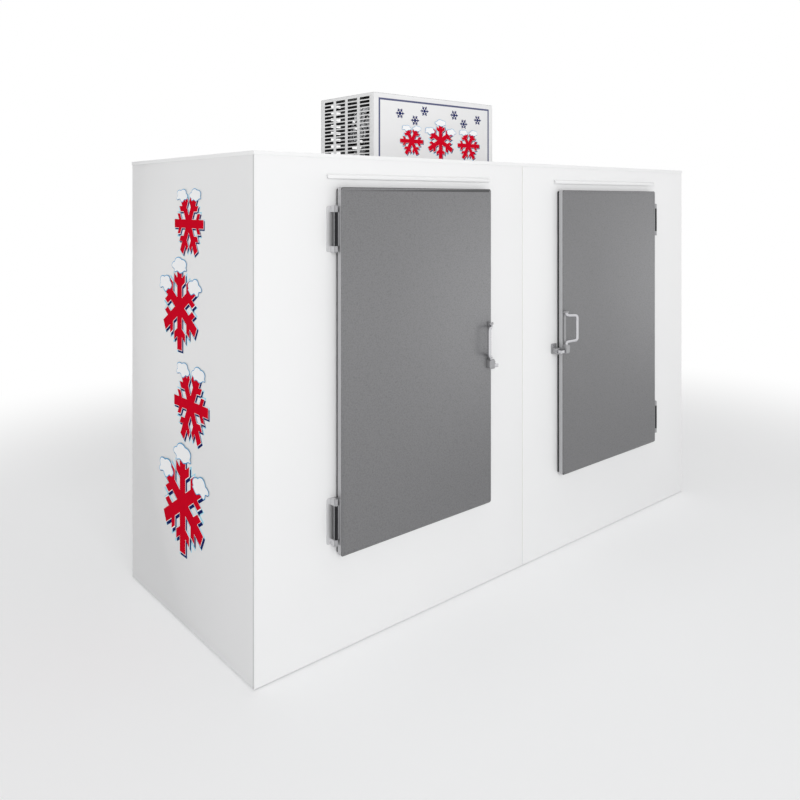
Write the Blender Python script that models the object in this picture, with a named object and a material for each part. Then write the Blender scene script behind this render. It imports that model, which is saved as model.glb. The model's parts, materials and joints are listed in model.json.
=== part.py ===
"""Two-door outdoor ice merchandiser with a condensing unit on its roof.

Metres, +Z up. The origin is on the floor under the middle of the cabinet.
X runs along the width, -Y is the side with the doors, +Y is the back.
A side of -1 is the left half seen from the front, and +1 the right half.
"""
import math

import bmesh
import bpy
from mathutils import Matrix, Vector

# Cabinet
CABINET_WIDTH = 2.388
CABINET_DEPTH = 0.978
CABINET_HEIGHT = 1.632
PANEL_SHEET = 0.0015
PANEL_FLOOR_GAP = 0.004
SEAM_GAP = 0.0012
SEAM_BEVEL = 0.0008
ROOF_RIM = 0.013
FIT_GAP = 0.0003

# Base
SKID_HEIGHT = 0.060
SKID_WIDTH = 0.090
SKID_SHEET = 0.004
SKID_LIP = 0.018
SKID_INSET = 0.160
SKID_END_INSET = 0.050
CROSS_BAR_WIDTH = 0.050
CROSS_BAR_HEIGHT = 0.030
CROSS_BAR_INSET = 0.200
CROSS_BAR_RISE = 0.008

# Insulation and liner
FOAM_WALL = 0.068
FOAM_FLOOR = 0.070
FOAM_ROOF = 0.075
LINER_SHEET = 0.001

# Doorways
DOOR_CENTRE_SHARE = 0.4673367
DOOR_WIDTH = 0.690
DOOR_BOTTOM = 0.325
DOOR_FROM_ROOF = 0.108
DOOR_OVERLAP = 0.027
FRAME_WALL = 0.003
FRAME_LIP_WIDTH = 0.016
FRAME_LIP_SHEET = 0.0012

# Doors
DOOR_STANDOFF = 0.014
PAN_DEPTH = 0.020
PAN_SHEET = 0.0012
PAN_CORNER_RADIUS = 0.009
PAN_EDGE_BEVEL = 0.002
PAN_RIM_WIDTH = 0.012
PAN_RIM_STEP = 0.0008
GASKET_INSET = 0.004
GASKET_WIDTH = 0.019
GASKET_FOLD = 0.003
PLUG_DEPTH = 0.040
PLUG_GAP = 0.006
PLUG_DRAFT = 0.008
PLUG_CORNER_RADIUS = 0.020

# Door hinges
HINGE_HEIGHT = 0.150
HINGE_FROM_TOP = 0.136
HINGE_FROM_BOTTOM = 0.114
HINGE_AXIS_OUT = 0.0145
HINGE_AXIS_PROUD = 0.025
HINGE_LEAF_REACH = 0.034
HINGE_LEAF_SHEET = 0.0028
HINGE_LEAF_CORNER = 0.006
KNUCKLE_RADIUS = 0.0072
KNUCKLE_HEIGHT = 0.020
KNUCKLE_GAP = 0.0006
PIN_RADIUS = 0.0030
PIN_CLEARANCE = 0.0004
PIN_HEAD_RADIUS = 0.0052
PIN_HEAD_HEIGHT = 0.0024
DOOR_LEAF_SHEET = 0.0024
DOOR_LEAF_WEB = 0.005

# Handle and latch
LATCH_CENTRE_HEIGHT = 0.857
LATCH_HEIGHT = 0.036
LATCH_LENGTH = 0.0255
LATCH_DEPTH = 0.020
LATCH_END_RADIUS = 0.008
LATCH_WALL = 0.0025
LATCH_EDGE_INSET = 0.001
LATCH_NOSE_BEVEL = 0.006
PIVOT_INSET = 0.012
STRIP_WIDTH = 0.012
STRIP_SHEET = 0.002
BRACKET_HEIGHT = 0.008
BRACKET_RADIUS = 0.0093
HANDLE_TOP_RISE = 0.147
GRIP_RADIUS = 0.0065
GRIP_REACH_IN = 0.036
GRIP_REACH_OUT = 0.028
GRIP_LOW_RISE = 0.037
HANDLE_BEND_RADIUS = 0.010
STUB_CLEARANCE = 0.0004
CAM_RADIUS = 0.0072
CAM_HEIGHT = 0.004
CAM_PIN_OFFSET = 0.0052
CAM_PIN_RADIUS = 0.0018
CAM_PIN_CLEARANCE = 0.0004
HANDLE_SWING = math.radians(30)
BOLT_HEIGHT = 0.012
BOLT_DEPTH = 0.008
BOLT_CLEARANCE = 0.0005
BOLT_NOSE_LENGTH = 0.012
BOLT_NOSE_OUT = 0.024
BOLT_NOSE_FACE_GAP = 0.006
BOLT_TAIL = 0.003
SLOT_SPARE = 0.0012

# Strikes
STRIKE_START = 0.003
STRIKE_LENGTH = 0.034
STRIKE_HEIGHT = 0.042
STRIKE_PROUD = 0.029
STRIKE_PLATE = 0.0025
STRIKE_CHEEK = 0.005
STRIKE_CLEARANCE = 0.0008
STRIKE_LIP_SHEET = 0.003
STRIKE_CHEEK_BEVEL = 0.005
STRIKE_END_INSET = 0.0075

# Drip rails
RAIL_ABOVE_DOOR = 0.028
RAIL_HEIGHT = 0.016
RAIL_PROUD = 0.010
RAIL_SHEET = 0.002
RAIL_OVERHANG_OUT = 0.034
RAIL_OVERHANG_IN = 0.018

# Condensing unit housing
UNIT_WIDTH = 0.712
UNIT_DEPTH = 0.405
UNIT_HEIGHT = 0.309
UNIT_BACK_INSET = 0.050
UNIT_SHEET = 0.0015
UNIT_BASE_HEIGHT = 0.022
UNIT_LID_RIM = 0.009
SIGN_INSET = 0.022
SIGN_RAISE = 0.001

# Ventilation slots
SLOT_COLUMNS = 4
SLOT_ROWS = 16
SLOT_WIDTH = 0.0705
SLOT_HEIGHT = 0.0084
SLOT_PITCH = 0.0905
SLOT_ROW_PITCH = 0.0164
SLOT_TOP_INSET = 0.016
BACK_SLOT_COLUMNS = 3
BACK_SLOT_ROWS = 8
BACK_SLOT_WIDTH = 0.180
BACK_SLOT_HEIGHT = 0.013
BACK_SLOT_PITCH = 0.212
BACK_SLOT_ROW_PITCH = 0.031

# Condenser side of the refrigeration
SHROUD_SHEET = 0.0016
SHROUD_FLANGE = 0.025
SHROUD_FROM_LEFT = 0.105
ORIFICE_RADIUS = 0.122
ORIFICE_LIP = 0.014
FAN_TIP_GAP = 0.006
FAN_HUB_RADIUS = 0.026
FAN_HUB_LENGTH = 0.024
FAN_BLADES = 5
FAN_BLADE_SHEET = 0.0018
FAN_BLADE_SWEEP = math.radians(24)
FAN_BLADE_CHORD = math.radians(52)
FAN_ROOT_CHORD_SHARE = 0.62
FAN_RISE_SHARE = 0.75
FAN_TIP_RISE_LOSS_SHARE = 0.35
FAN_CUP_SHARE = 0.10
GUARD_RINGS = 4
GUARD_WIRE = 0.0030
GUARD_FROM_SHROUD = 0.030
GUARD_OVERLAP = 0.006
GUARD_SPOKES = 4
GUARD_SPOKE_SHARE = 0.8
MOTOR_RADIUS = 0.045
MOTOR_LENGTH = 0.085
MOTOR_SHAFT_RADIUS = 0.004
MOTOR_SHAFT_CLEARANCE = 0.0004
MOTOR_GAP = 0.010
MOTOR_FOOT = 0.012
MOTOR_SOLE = 0.0032
MOTOR_NOSE_SHARE = 0.9
MOTOR_TAIL_SHARE = 0.6
MOTOR_POST_SHARES = (0.3, 0.7)
COIL_THICKNESS = 0.050
COIL_GAP = 0.004
COIL_FINS = 20
COIL_FIN_DEPTH = 0.006
COIL_FIN_SHEET_SHARE = 0.45
COIL_INSET = 0.020
COMPRESSOR_RADIUS = 0.085
COMPRESSOR_HEIGHT = 0.190
COMPRESSOR_FOOT = 0.008
COMPRESSOR_PLACE_X = 0.045
COMPRESSOR_PROFILE_SHARES = ((0.80, 0.0), (0.95, 0.10), (1.0, 0.16), (1.0, 0.46), (1.03, 0.47),
                             (1.03, 0.52), (1.0, 0.53), (1.0, 0.74), (0.92, 0.88), (0.68, 0.97))
COMPRESSOR_CORNER_SHARE = 0.25
BOX_WIDTH = 0.110
BOX_DEPTH = 0.080
BOX_HEIGHT = 0.140
GLAND_RADIUS = 0.011
GLAND_BORE_RADIUS = 0.0055
GLAND_LENGTH = 0.018
GLAND_NECK_RADIUS = 0.008
GLAND_FLANGE = 0.004
GLAND_INSET = 0.060
GLAND_RISE = 0.040
LINE_RADIUS = 0.0062
LINE_PORT_CLEARANCE = 0.0007
LINE_SPACING = 0.040
LINE_RISE = 0.060
LINE_BEND_RADIUS = 0.018
CLIP_SHEET = 0.002
CLIP_WIDTH = 0.012

# Evaporator under the ceiling
EVAPORATOR_WIDTH = 0.620
EVAPORATOR_DEPTH = 0.300
EVAPORATOR_HEIGHT = 0.190
EVAPORATOR_SHEET = 0.0015
EVAPORATOR_BACK_INSET = 0.060
EVAPORATOR_ORIFICE_RADIUS = 0.077
EVAPORATOR_COIL_THICKNESS = 0.100
EVAPORATOR_FINS = 20
EVAPORATOR_HUB_RADIUS = 0.018
EVAPORATOR_HUB_LENGTH = 0.018
EVAPORATOR_MOTOR_RADIUS = 0.030
EVAPORATOR_MOTOR_LENGTH = 0.055
EVAPORATOR_FAN_SET_BACK = 0.010
PAN_TRAY_HEIGHT = 0.018
PAN_TRAY_LAP = 0.012
TRAY_HANGER_WIDTH = 0.030
DRAIN_RADIUS = 0.010
DRAIN_LENGTH = 0.060
DRAIN_INSET = 0.036

# Mesh fineness
ROUND_STEPS = 18
FINE_STEPS = 24
CORNER_STEPS = 4
BEND_STEPS = 3
TUBE_RESOLUTION = 2
FAN_STATIONS = 3
FAN_STEPS = 3
SMOOTH_ANGLE = math.radians(35)
MERGE_DISTANCE = 0.000002
CUT_OVERRUN = 0.010
BORE_OVERRUN = 0.004

# Places that follow from the sizes
HALF_WIDTH = CABINET_WIDTH / 2
HALF_DEPTH = CABINET_DEPTH / 2
FRONT = -HALF_DEPTH
BACK = HALF_DEPTH
INNER_FRONT = FRONT + PANEL_SHEET + FIT_GAP
INNER_BACK = BACK - PANEL_SHEET - FIT_GAP
INNER_SIDE = HALF_WIDTH - PANEL_SHEET - FIT_GAP
ROOF_UNDERSIDE = CABINET_HEIGHT - PANEL_SHEET
BASE_BOTTOM = SKID_HEIGHT + FIT_GAP
BASE_TOP = BASE_BOTTOM + PANEL_SHEET
FLOOR_FOAM_BOTTOM = BASE_TOP + FIT_GAP
FLOOR_FOAM_TOP = FLOOR_FOAM_BOTTOM + FOAM_FLOOR
ROOF_FOAM_TOP = ROOF_UNDERSIDE - FIT_GAP
ROOF_FOAM_BOTTOM = ROOF_FOAM_TOP - FOAM_ROOF
WALL_BOTTOM = FLOOR_FOAM_TOP + FIT_GAP
WALL_TOP = ROOF_FOAM_BOTTOM - FIT_GAP
LINER_SIDE = INNER_SIDE - FOAM_WALL - FIT_GAP
LINER_FRONT = INNER_FRONT + FOAM_WALL + FIT_GAP
LINER_BACK = INNER_BACK - FOAM_WALL - FIT_GAP
BAY_SIDE = LINER_SIDE - LINER_SHEET
BAY_FRONT = LINER_FRONT + LINER_SHEET
BAY_BACK = LINER_BACK - LINER_SHEET
BAY_BOTTOM = WALL_BOTTOM + LINER_SHEET
BAY_TOP = WALL_TOP - LINER_SHEET

DOOR_CENTRE = HALF_WIDTH * DOOR_CENTRE_SHARE
DOOR_TOP = CABINET_HEIGHT - DOOR_FROM_ROOF
RAIL_BOTTOM = DOOR_TOP + RAIL_ABOVE_DOOR
HALF_DOOR = DOOR_WIDTH / 2
HALF_OPENING = HALF_DOOR - DOOR_OVERLAP
OPENING_BOTTOM = DOOR_BOTTOM + DOOR_OVERLAP
OPENING_TOP = DOOR_TOP - DOOR_OVERLAP
FRAME_FACE = FRONT - FIT_GAP - FRAME_LIP_SHEET
PAN_REAR = FRONT - DOOR_STANDOFF
PAN_FACE = PAN_REAR - PAN_DEPTH
HINGE_AXIS_Y = FRONT - HINGE_AXIS_PROUD
HINGE_X = DOOR_CENTRE + HALF_DOOR + HINGE_AXIS_OUT
FREE_EDGE = DOOR_CENTRE - HALF_DOOR
HANDLE_TOP = LATCH_CENTRE_HEIGHT + HANDLE_TOP_RISE
GRIP_LOW = LATCH_CENTRE_HEIGHT + GRIP_LOW_RISE
LATCH_BOTTOM = LATCH_CENTRE_HEIGHT - LATCH_HEIGHT / 2
LATCH_TOP = LATCH_CENTRE_HEIGHT + LATCH_HEIGHT / 2
BRACKET_BOTTOM = HANDLE_TOP - GRIP_RADIUS + HANDLE_BEND_RADIUS + FIT_GAP
BRACKET_TOP = BRACKET_BOTTOM + BRACKET_HEIGHT
PIVOT_X = FREE_EDGE + PIVOT_INSET
PIVOT_Y = PAN_FACE - LATCH_DEPTH / 2
BOLT_BOTTOM = LATCH_BOTTOM + LATCH_WALL + BOLT_CLEARANCE
BOLT_TOP = BOLT_BOTTOM + BOLT_HEIGHT
CAM_BOTTOM = BOLT_TOP + BOLT_CLEARANCE
CAM_TOP = CAM_BOTTOM + CAM_HEIGHT
CAM_PIN_X = PIVOT_X - CAM_PIN_OFFSET * math.sin(HANDLE_SWING / 2)

UNIT_HALF = UNIT_WIDTH / 2
UNIT_BACK = BACK - UNIT_BACK_INSET
UNIT_FRONT = UNIT_BACK - UNIT_DEPTH
UNIT_BOTTOM = CABINET_HEIGHT + FIT_GAP
UNIT_TOP = UNIT_BOTTOM + UNIT_HEIGHT
UNIT_FLOOR = UNIT_BOTTOM + UNIT_SHEET
UNIT_WALL_TOP = UNIT_TOP - UNIT_SHEET - FIT_GAP
UNIT_MIDDLE = (UNIT_FRONT + UNIT_BACK) / 2
SHROUD_X = -UNIT_HALF + SHROUD_FROM_LEFT
SHROUD_TOP = UNIT_WALL_TOP - UNIT_LID_RIM
FAN_HEIGHT = (UNIT_FLOOR + SHROUD_TOP) / 2
EVAPORATOR_BACK = BAY_BACK - EVAPORATOR_BACK_INSET
EVAPORATOR_FRONT = EVAPORATOR_BACK - EVAPORATOR_DEPTH
EVAPORATOR_TOP = BAY_TOP - FIT_GAP
EVAPORATOR_BOTTOM = EVAPORATOR_TOP - EVAPORATOR_HEIGHT
EVAPORATOR_MIDDLE = (EVAPORATOR_TOP + EVAPORATOR_BOTTOM) / 2
LINE_PORT_X = UNIT_HALF / 2
LINE_PORT_Y = EVAPORATOR_BACK - EVAPORATOR_COIL_THICKNESS / 2
LINE_PORT_RADIUS = LINE_RADIUS + LINE_PORT_CLEARANCE
INSIDE_RIM = 2 * (UNIT_SHEET + FIT_GAP)


def clear_scene():
    """Remove what the scene holds."""
    for item in list(bpy.data.objects):
        bpy.data.objects.remove(item, do_unlink=True)


def finish(name, colour, roughness, metallic):
    """One plain material for one node."""
    material = bpy.data.materials.new(name)
    material.use_nodes = True
    shader = material.node_tree.nodes["Principled BSDF"]
    shader.inputs["Base Color"].default_value = (*colour, 1.0)
    shader.inputs["Roughness"].default_value = roughness
    shader.inputs["Metallic"].default_value = metallic
    material.diffuse_color = (*colour, 1.0)
    return material


def white_paint(name):
    """Gloss white paint on sheet steel."""
    return finish(name, (0.90, 0.90, 0.91), 0.32, 0.0)


def stucco_steel(name):
    """Embossed grey steel of the doors."""
    return finish(name, (0.36, 0.36, 0.37), 0.42, 0.85)


def chrome(name):
    """Bright plated hardware."""
    return finish(name, (0.78, 0.78, 0.80), 0.12, 1.0)


def galvanised(name):
    """Galvanised sheet."""
    return finish(name, (0.62, 0.64, 0.66), 0.45, 0.9)


def foam(name):
    """Cream insulation."""
    return finish(name, (0.86, 0.80, 0.60), 0.95, 0.0)


def rubber(name):
    """Dark seal."""
    return finish(name, (0.06, 0.06, 0.07), 0.6, 0.0)


def black_plastic(name):
    """Moulded black plastic."""
    return finish(name, (0.03, 0.03, 0.04), 0.4, 0.0)


def black_enamel(name):
    """Black enamelled steel."""
    return finish(name, (0.04, 0.04, 0.05), 0.35, 0.3)


def aluminium(name):
    """Bare aluminium."""
    return finish(name, (0.76, 0.77, 0.79), 0.3, 1.0)


def copper(name):
    """Copper pipe."""
    return finish(name, (0.78, 0.42, 0.28), 0.3, 1.0)


def white_plastic(name):
    """White moulded plastic."""
    return finish(name, (0.88, 0.88, 0.87), 0.45, 0.0)


def add_object(name, mesh, material, smooth=False):
    """Put a mesh in the scene as a named object."""
    item = bpy.data.objects.new(name, mesh)
    bpy.context.collection.objects.link(item)
    mesh.materials.clear()
    mesh.materials.append(material(name))
    if smooth:
        mesh.shade_smooth()
        mesh.set_sharp_from_angle(angle=SMOOTH_ANGLE)
    return item


def mesh_from(name, points, faces):
    """A closed mesh with its faces turned outwards."""
    mesh = bpy.data.meshes.new(name)
    work = bmesh.new()
    corners = [work.verts.new(point) for point in points]
    for face in faces:
        work.faces.new([corners[index] for index in face])
    bmesh.ops.recalc_face_normals(work, faces=work.faces)
    work.to_mesh(mesh)
    work.free()
    return mesh


def block_mesh(name, low, high):
    """A rectangular block between two corners."""
    return blocks_mesh(name, [(low, high)])


def blocks_mesh(name, pairs):
    """Rectangular blocks, one for each pair of corners."""
    mesh = bpy.data.meshes.new(name)
    work = bmesh.new()
    for low, high in pairs:
        centre = (Vector(low) + Vector(high)) / 2
        size = Vector(high) - Vector(low)
        place = Matrix.Translation(centre) @ Matrix.Diagonal((*size, 1.0))
        bmesh.ops.create_cube(work, size=1.0, matrix=place)
    work.to_mesh(mesh)
    work.free()
    return mesh


def loft_mesh(name, rings, looped=False):
    """Skin rings of equally many points, with end caps or joined end to start."""
    count = len(rings[0])
    points = [point for ring in rings for point in ring]
    faces = []
    spans = len(rings) if looped else len(rings) - 1
    for row in range(spans):
        start = row * count
        after = ((row + 1) % len(rings)) * count
        for step in range(count):
            follow = (step + 1) % count
            faces.append((start + step, start + follow, after + follow, after + step))
    if not looped:
        faces.append(tuple(range(count)))
        last = (len(rings) - 1) * count
        faces.append(tuple(last + step for step in range(count)))
    return mesh_from(name, points, faces)


def extrude_mesh(name, outline, axis, start, end):
    """Extrude a flat outline along X, Y or Z between two places."""
    def place(pair, along):
        first, second = pair
        if axis == "X":
            return (along, first, second)
        if axis == "Y":
            return (first, along, second)
        return (first, second, along)
    rings = [[place(pair, along) for pair in outline] for along in (start, end)]
    return loft_mesh(name, rings)


def rectangle_ring(x0, x1, z0, z1, y):
    """Four corners in an upright plane."""
    return [(x0, y, z0), (x1, y, z0), (x1, y, z1), (x0, y, z1)]


def rounded_ring(x0, x1, z0, z1, y, radius, steps=CORNER_STEPS):
    """A rectangle with round corners in an upright plane."""
    centres = ((x1 - radius, z1 - radius), (x0 + radius, z1 - radius),
               (x0 + radius, z0 + radius), (x1 - radius, z0 + radius))
    ring = []
    for quarter, (x, z) in enumerate(centres):
        for step in range(steps + 1):
            angle = math.pi / 2 * (quarter + step / steps)
            ring.append((x + radius * math.cos(angle), y, z + radius * math.sin(angle)))
    return ring


def arc_points(centre, radius, start, end, steps):
    """Points of an arc in a plane, both ends included."""
    points = []
    for step in range(steps + 1):
        angle = start + (end - start) * step / steps
        points.append((centre[0] + radius * math.cos(angle), centre[1] + radius * math.sin(angle)))
    return points


def circle_points(radius, steps):
    """Points of a full circle about the origin."""
    angles = [2 * math.pi * step / steps for step in range(steps)]
    return [(radius * math.cos(angle), radius * math.sin(angle)) for angle in angles]


def axis_frame(centre, axis):
    """A matrix that puts local +Z along X, Y or Z at a place."""
    turns = {"X": Matrix.Rotation(math.pi / 2, 4, "Y"),
             "Y": Matrix.Rotation(-math.pi / 2, 4, "X"),
             "Z": Matrix.Identity(4)}
    return Matrix.Translation(centre) @ turns[axis]


def turned_mesh(name, profile, centre, axis, steps=ROUND_STEPS, looped=False):
    """Revolve (radius, height) points; a radius of zero closes the end."""
    place = axis_frame(centre, axis)
    points = []
    rows = []
    for radius, height in profile:
        if radius == 0:
            rows.append([len(points)])
            points.append(place @ Vector((0, 0, height)))
            continue
        row = []
        for x, y in circle_points(radius, steps):
            row.append(len(points))
            points.append(place @ Vector((x, y, height)))
        rows.append(row)
    faces = []
    pairs = list(zip(rows, rows[1:] + rows[:1])) if looped else list(zip(rows, rows[1:]))
    for one, two in pairs:
        for step in range(steps):
            follow = (step + 1) % steps
            if len(one) == 1:
                faces.append((one[0], two[step], two[follow]))
            elif len(two) == 1:
                faces.append((one[step], one[follow], two[0]))
            else:
                faces.append((one[step], one[follow], two[follow], two[step]))
    return mesh_from(name, points, faces)


def cylinder_mesh(name, radius, centre, axis, start, end, steps=ROUND_STEPS):
    """A plain cylinder along an axis, from start to end about a centre."""
    return turned_mesh(name, [(0, start), (radius, start), (radius, end), (0, end)], centre, axis, steps)


def tube_path(corners, radius, steps=BEND_STEPS):
    """A route with each inner corner rounded to a bend radius."""
    points = [Vector(corners[0])]
    for before, corner, after in zip(corners, corners[1:], corners[2:]):
        corner = Vector(corner)
        inwards = (Vector(before) - corner).normalized()
        outwards = (Vector(after) - corner).normalized()
        half = inwards.angle(outwards) / 2
        reach = radius / math.tan(half)
        middle = corner + (inwards + outwards).normalized() * radius / math.sin(half)
        first = corner + inwards * reach - middle
        second = corner + outwards * reach - middle
        sweep = first.angle(second)
        for step in range(steps + 1):
            share = step / steps
            blend = (first * math.sin((1 - share) * sweep) + second * math.sin(share * sweep))
            points.append(middle + blend / math.sin(sweep))
    points.append(Vector(corners[-1]))
    return points


def tube_mesh(name, points, radius):
    """A round bar along a route, made from a bevelled curve with filled caps."""
    curve = bpy.data.curves.new(name, "CURVE")
    curve.dimensions = "3D"
    curve.bevel_depth = radius
    curve.bevel_resolution = TUBE_RESOLUTION
    curve.use_fill_caps = True
    spline = curve.splines.new("POLY")
    spline.points.add(len(points) - 1)
    for target, point in zip(spline.points, points):
        target.co = (*point, 1.0)
    holder = bpy.data.objects.new(name, curve)
    bpy.context.collection.objects.link(holder)
    shape = holder.evaluated_get(bpy.context.evaluated_depsgraph_get())
    work = bmesh.new()
    work.from_mesh(bpy.data.meshes.new_from_object(shape))
    bpy.data.objects.remove(holder, do_unlink=True)
    bmesh.ops.remove_doubles(work, verts=work.verts, dist=MERGE_DISTANCE)
    bmesh.ops.recalc_face_normals(work, faces=work.faces)
    mesh = bpy.data.meshes.new(name)
    work.to_mesh(mesh)
    work.free()
    return mesh


def combine(mesh, tools, operation):
    """Add or cut tool meshes one after another, and return the new mesh."""
    holder = bpy.data.objects.new("work", mesh)
    bpy.context.collection.objects.link(holder)
    helpers = []
    for tool in tools:
        helper = bpy.data.objects.new("tool", tool)
        bpy.context.collection.objects.link(helper)
        helper.hide_render = True
        helper.display_type = "WIRE"
        helpers.append(helper)
        change = holder.modifiers.new("change", "BOOLEAN")
        change.operation = operation
        change.solver = "EXACT"
        change.object = helper
    shape = holder.evaluated_get(bpy.context.evaluated_depsgraph_get())
    result = bpy.data.meshes.new_from_object(shape)
    for item in [holder] + helpers:
        bpy.data.objects.remove(item, do_unlink=True)
    work = bmesh.new()
    work.from_mesh(result)
    bmesh.ops.remove_doubles(work, verts=work.verts, dist=MERGE_DISTANCE)
    bmesh.ops.dissolve_degenerate(work, edges=work.edges, dist=MERGE_DISTANCE)
    work.to_mesh(result)
    work.free()
    return result


def cut(mesh, tools):
    """Take tool meshes away."""
    return combine(mesh, tools, "DIFFERENCE")


def join(mesh, tools):
    """Fuse tool meshes on."""
    return combine(mesh, tools, "UNION")


def mirrored(mesh, side):
    """A right-hand mesh as it is, or turned over to the left half."""
    if side > 0:
        return mesh
    work = bmesh.new()
    work.from_mesh(mesh)
    bmesh.ops.transform(work, matrix=Matrix.Diagonal((-1, 1, 1, 1)), verts=work.verts)
    bmesh.ops.reverse_faces(work, faces=work.faces)
    work.to_mesh(mesh)
    work.free()
    return mesh


def joint_empty(name, place, parent=None):
    """An empty on a joint's axis, which carries the pieces that move."""
    empty = bpy.data.objects.new(name, None)
    bpy.context.collection.objects.link(empty)
    empty.location = place
    empty["place"] = place
    if parent is not None:
        empty.parent = parent
        empty.location = Vector(place) - Vector(parent["place"])
    return empty


def carry(item, empty):
    """Hang a piece on a joint's empty without moving it."""
    item.parent = empty
    item.matrix_parent_inverse = Matrix.Translation(-Vector(empty["place"]))
    return item


def side_name(side):
    """The word for one half."""
    return "left" if side < 0 else "right"


def build_base_frame():
    """Three channel runners, flat side down, welded to two cross bars."""
    outer = SKID_WIDTH / 2
    inner = outer - SKID_SHEET
    lip = outer - SKID_LIP
    channel = [(-outer, 0), (outer, 0), (outer, SKID_HEIGHT), (lip, SKID_HEIGHT),
               (lip, SKID_HEIGHT - SKID_SHEET), (inner, SKID_HEIGHT - SKID_SHEET),
               (inner, SKID_SHEET), (-inner, SKID_SHEET), (-inner, SKID_HEIGHT - SKID_SHEET),
               (-lip, SKID_HEIGHT - SKID_SHEET), (-lip, SKID_HEIGHT), (-outer, SKID_HEIGHT)]
    reach = HALF_WIDTH - SKID_INSET
    runners = []
    for x in (-reach, 0, reach):
        outline = [(x + across, up) for across, up in channel]
        runners.append(extrude_mesh("base_frame", outline, "Y", FRONT + SKID_END_INSET,
                                    BACK - SKID_END_INSET))
    place = HALF_DEPTH - CROSS_BAR_INSET
    for y in (-place, place):
        low = (-reach, y - CROSS_BAR_WIDTH / 2, CROSS_BAR_RISE)
        high = (reach, y + CROSS_BAR_WIDTH / 2, CROSS_BAR_RISE + CROSS_BAR_HEIGHT)
        runners.append(block_mesh("bar", low, high))
    add_object("base_frame", join(runners[0], runners[1:]), galvanised)


def build_base_pan():
    """The tray under the insulation, with its rim turned down behind the outer panels."""
    def ring(inset, z):
        x = INNER_SIDE - inset
        y0 = INNER_FRONT + inset
        y1 = INNER_BACK - inset
        return [(-x, y0, z), (x, y0, z), (x, y1, z), (-x, y1, z)]
    rings = [ring(0, BASE_TOP), ring(0, PANEL_FLOOR_GAP),
             ring(PANEL_SHEET, PANEL_FLOOR_GAP), ring(PANEL_SHEET, BASE_BOTTOM)]
    add_object("base_pan", loft_mesh("base_pan", rings), galvanised)


def build_outer_panels():
    """Two side panels and the back panel."""
    top = ROOF_UNDERSIDE - FIT_GAP
    for side in (-1, 1):
        name = "side_panel_" + side_name(side)
        low = (HALF_WIDTH - PANEL_SHEET, INNER_FRONT, PANEL_FLOOR_GAP)
        high = (HALF_WIDTH, INNER_BACK, top)
        add_object(name, mirrored(block_mesh(name, low, high), side), white_paint)
    low = (-HALF_WIDTH, BACK - PANEL_SHEET, PANEL_FLOOR_GAP)
    high = (HALF_WIDTH, BACK, top)
    add_object("back_panel", block_mesh("back_panel", low, high), white_paint)


def build_front_panel(side):
    """Half of the front, cut out for its door, with bevelled edges at the middle seam."""
    name = "front_panel_" + side_name(side)
    top = ROOF_UNDERSIDE - FIT_GAP
    seam = SEAM_GAP / 2
    hole = HALF_OPENING + FRAME_WALL + FIT_GAP
    hole_ring = (DOOR_CENTRE - hole, DOOR_CENTRE + hole,
                 OPENING_BOTTOM - FRAME_WALL - FIT_GAP, OPENING_TOP + FRAME_WALL + FIT_GAP)
    edge_ring = (seam, HALF_WIDTH, PANEL_FLOOR_GAP, top)
    face_ring = (seam + SEAM_BEVEL, HALF_WIDTH - SEAM_BEVEL, PANEL_FLOOR_GAP + SEAM_BEVEL,
                 top - SEAM_BEVEL)
    rings = [rectangle_ring(*hole_ring, FRONT), rectangle_ring(*face_ring, FRONT),
             rectangle_ring(*edge_ring, FRONT + SEAM_BEVEL),
             rectangle_ring(*edge_ring, FRONT + PANEL_SHEET),
             rectangle_ring(*hole_ring, FRONT + PANEL_SHEET)]
    add_object(name, mirrored(loft_mesh(name, rings, looped=True), side), white_paint)


def line_ports(bottom, top):
    """Cutters for the two refrigerant lines through one sheet or slab."""
    tools = []
    for offset in (-LINE_SPACING / 2, LINE_SPACING / 2):
        centre = (LINE_PORT_X + offset, LINE_PORT_Y, 0)
        tools.append(cylinder_mesh("port", LINE_PORT_RADIUS, centre, "Z",
                                   bottom - CUT_OVERRUN, top + CUT_OVERRUN, ROUND_STEPS // 2))
    return tools


def build_roof_pan():
    """The roof sheet with its rim turned down over the tops of the walls."""
    def ring(outwards, z):
        x = HALF_WIDTH + outwards
        y = BACK + outwards
        return [(-x, -y, z), (x, -y, z), (x, y, z), (-x, y, z)]
    outside = FIT_GAP + PANEL_SHEET
    rings = [ring(outside - SEAM_BEVEL, CABINET_HEIGHT), ring(outside, CABINET_HEIGHT - SEAM_BEVEL),
             ring(outside, CABINET_HEIGHT - ROOF_RIM), ring(FIT_GAP, CABINET_HEIGHT - ROOF_RIM),
             ring(FIT_GAP, ROOF_UNDERSIDE)]
    mesh = cut(loft_mesh("roof_pan", rings), line_ports(ROOF_UNDERSIDE, CABINET_HEIGHT))
    add_object("roof_pan", mesh, white_paint)


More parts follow.
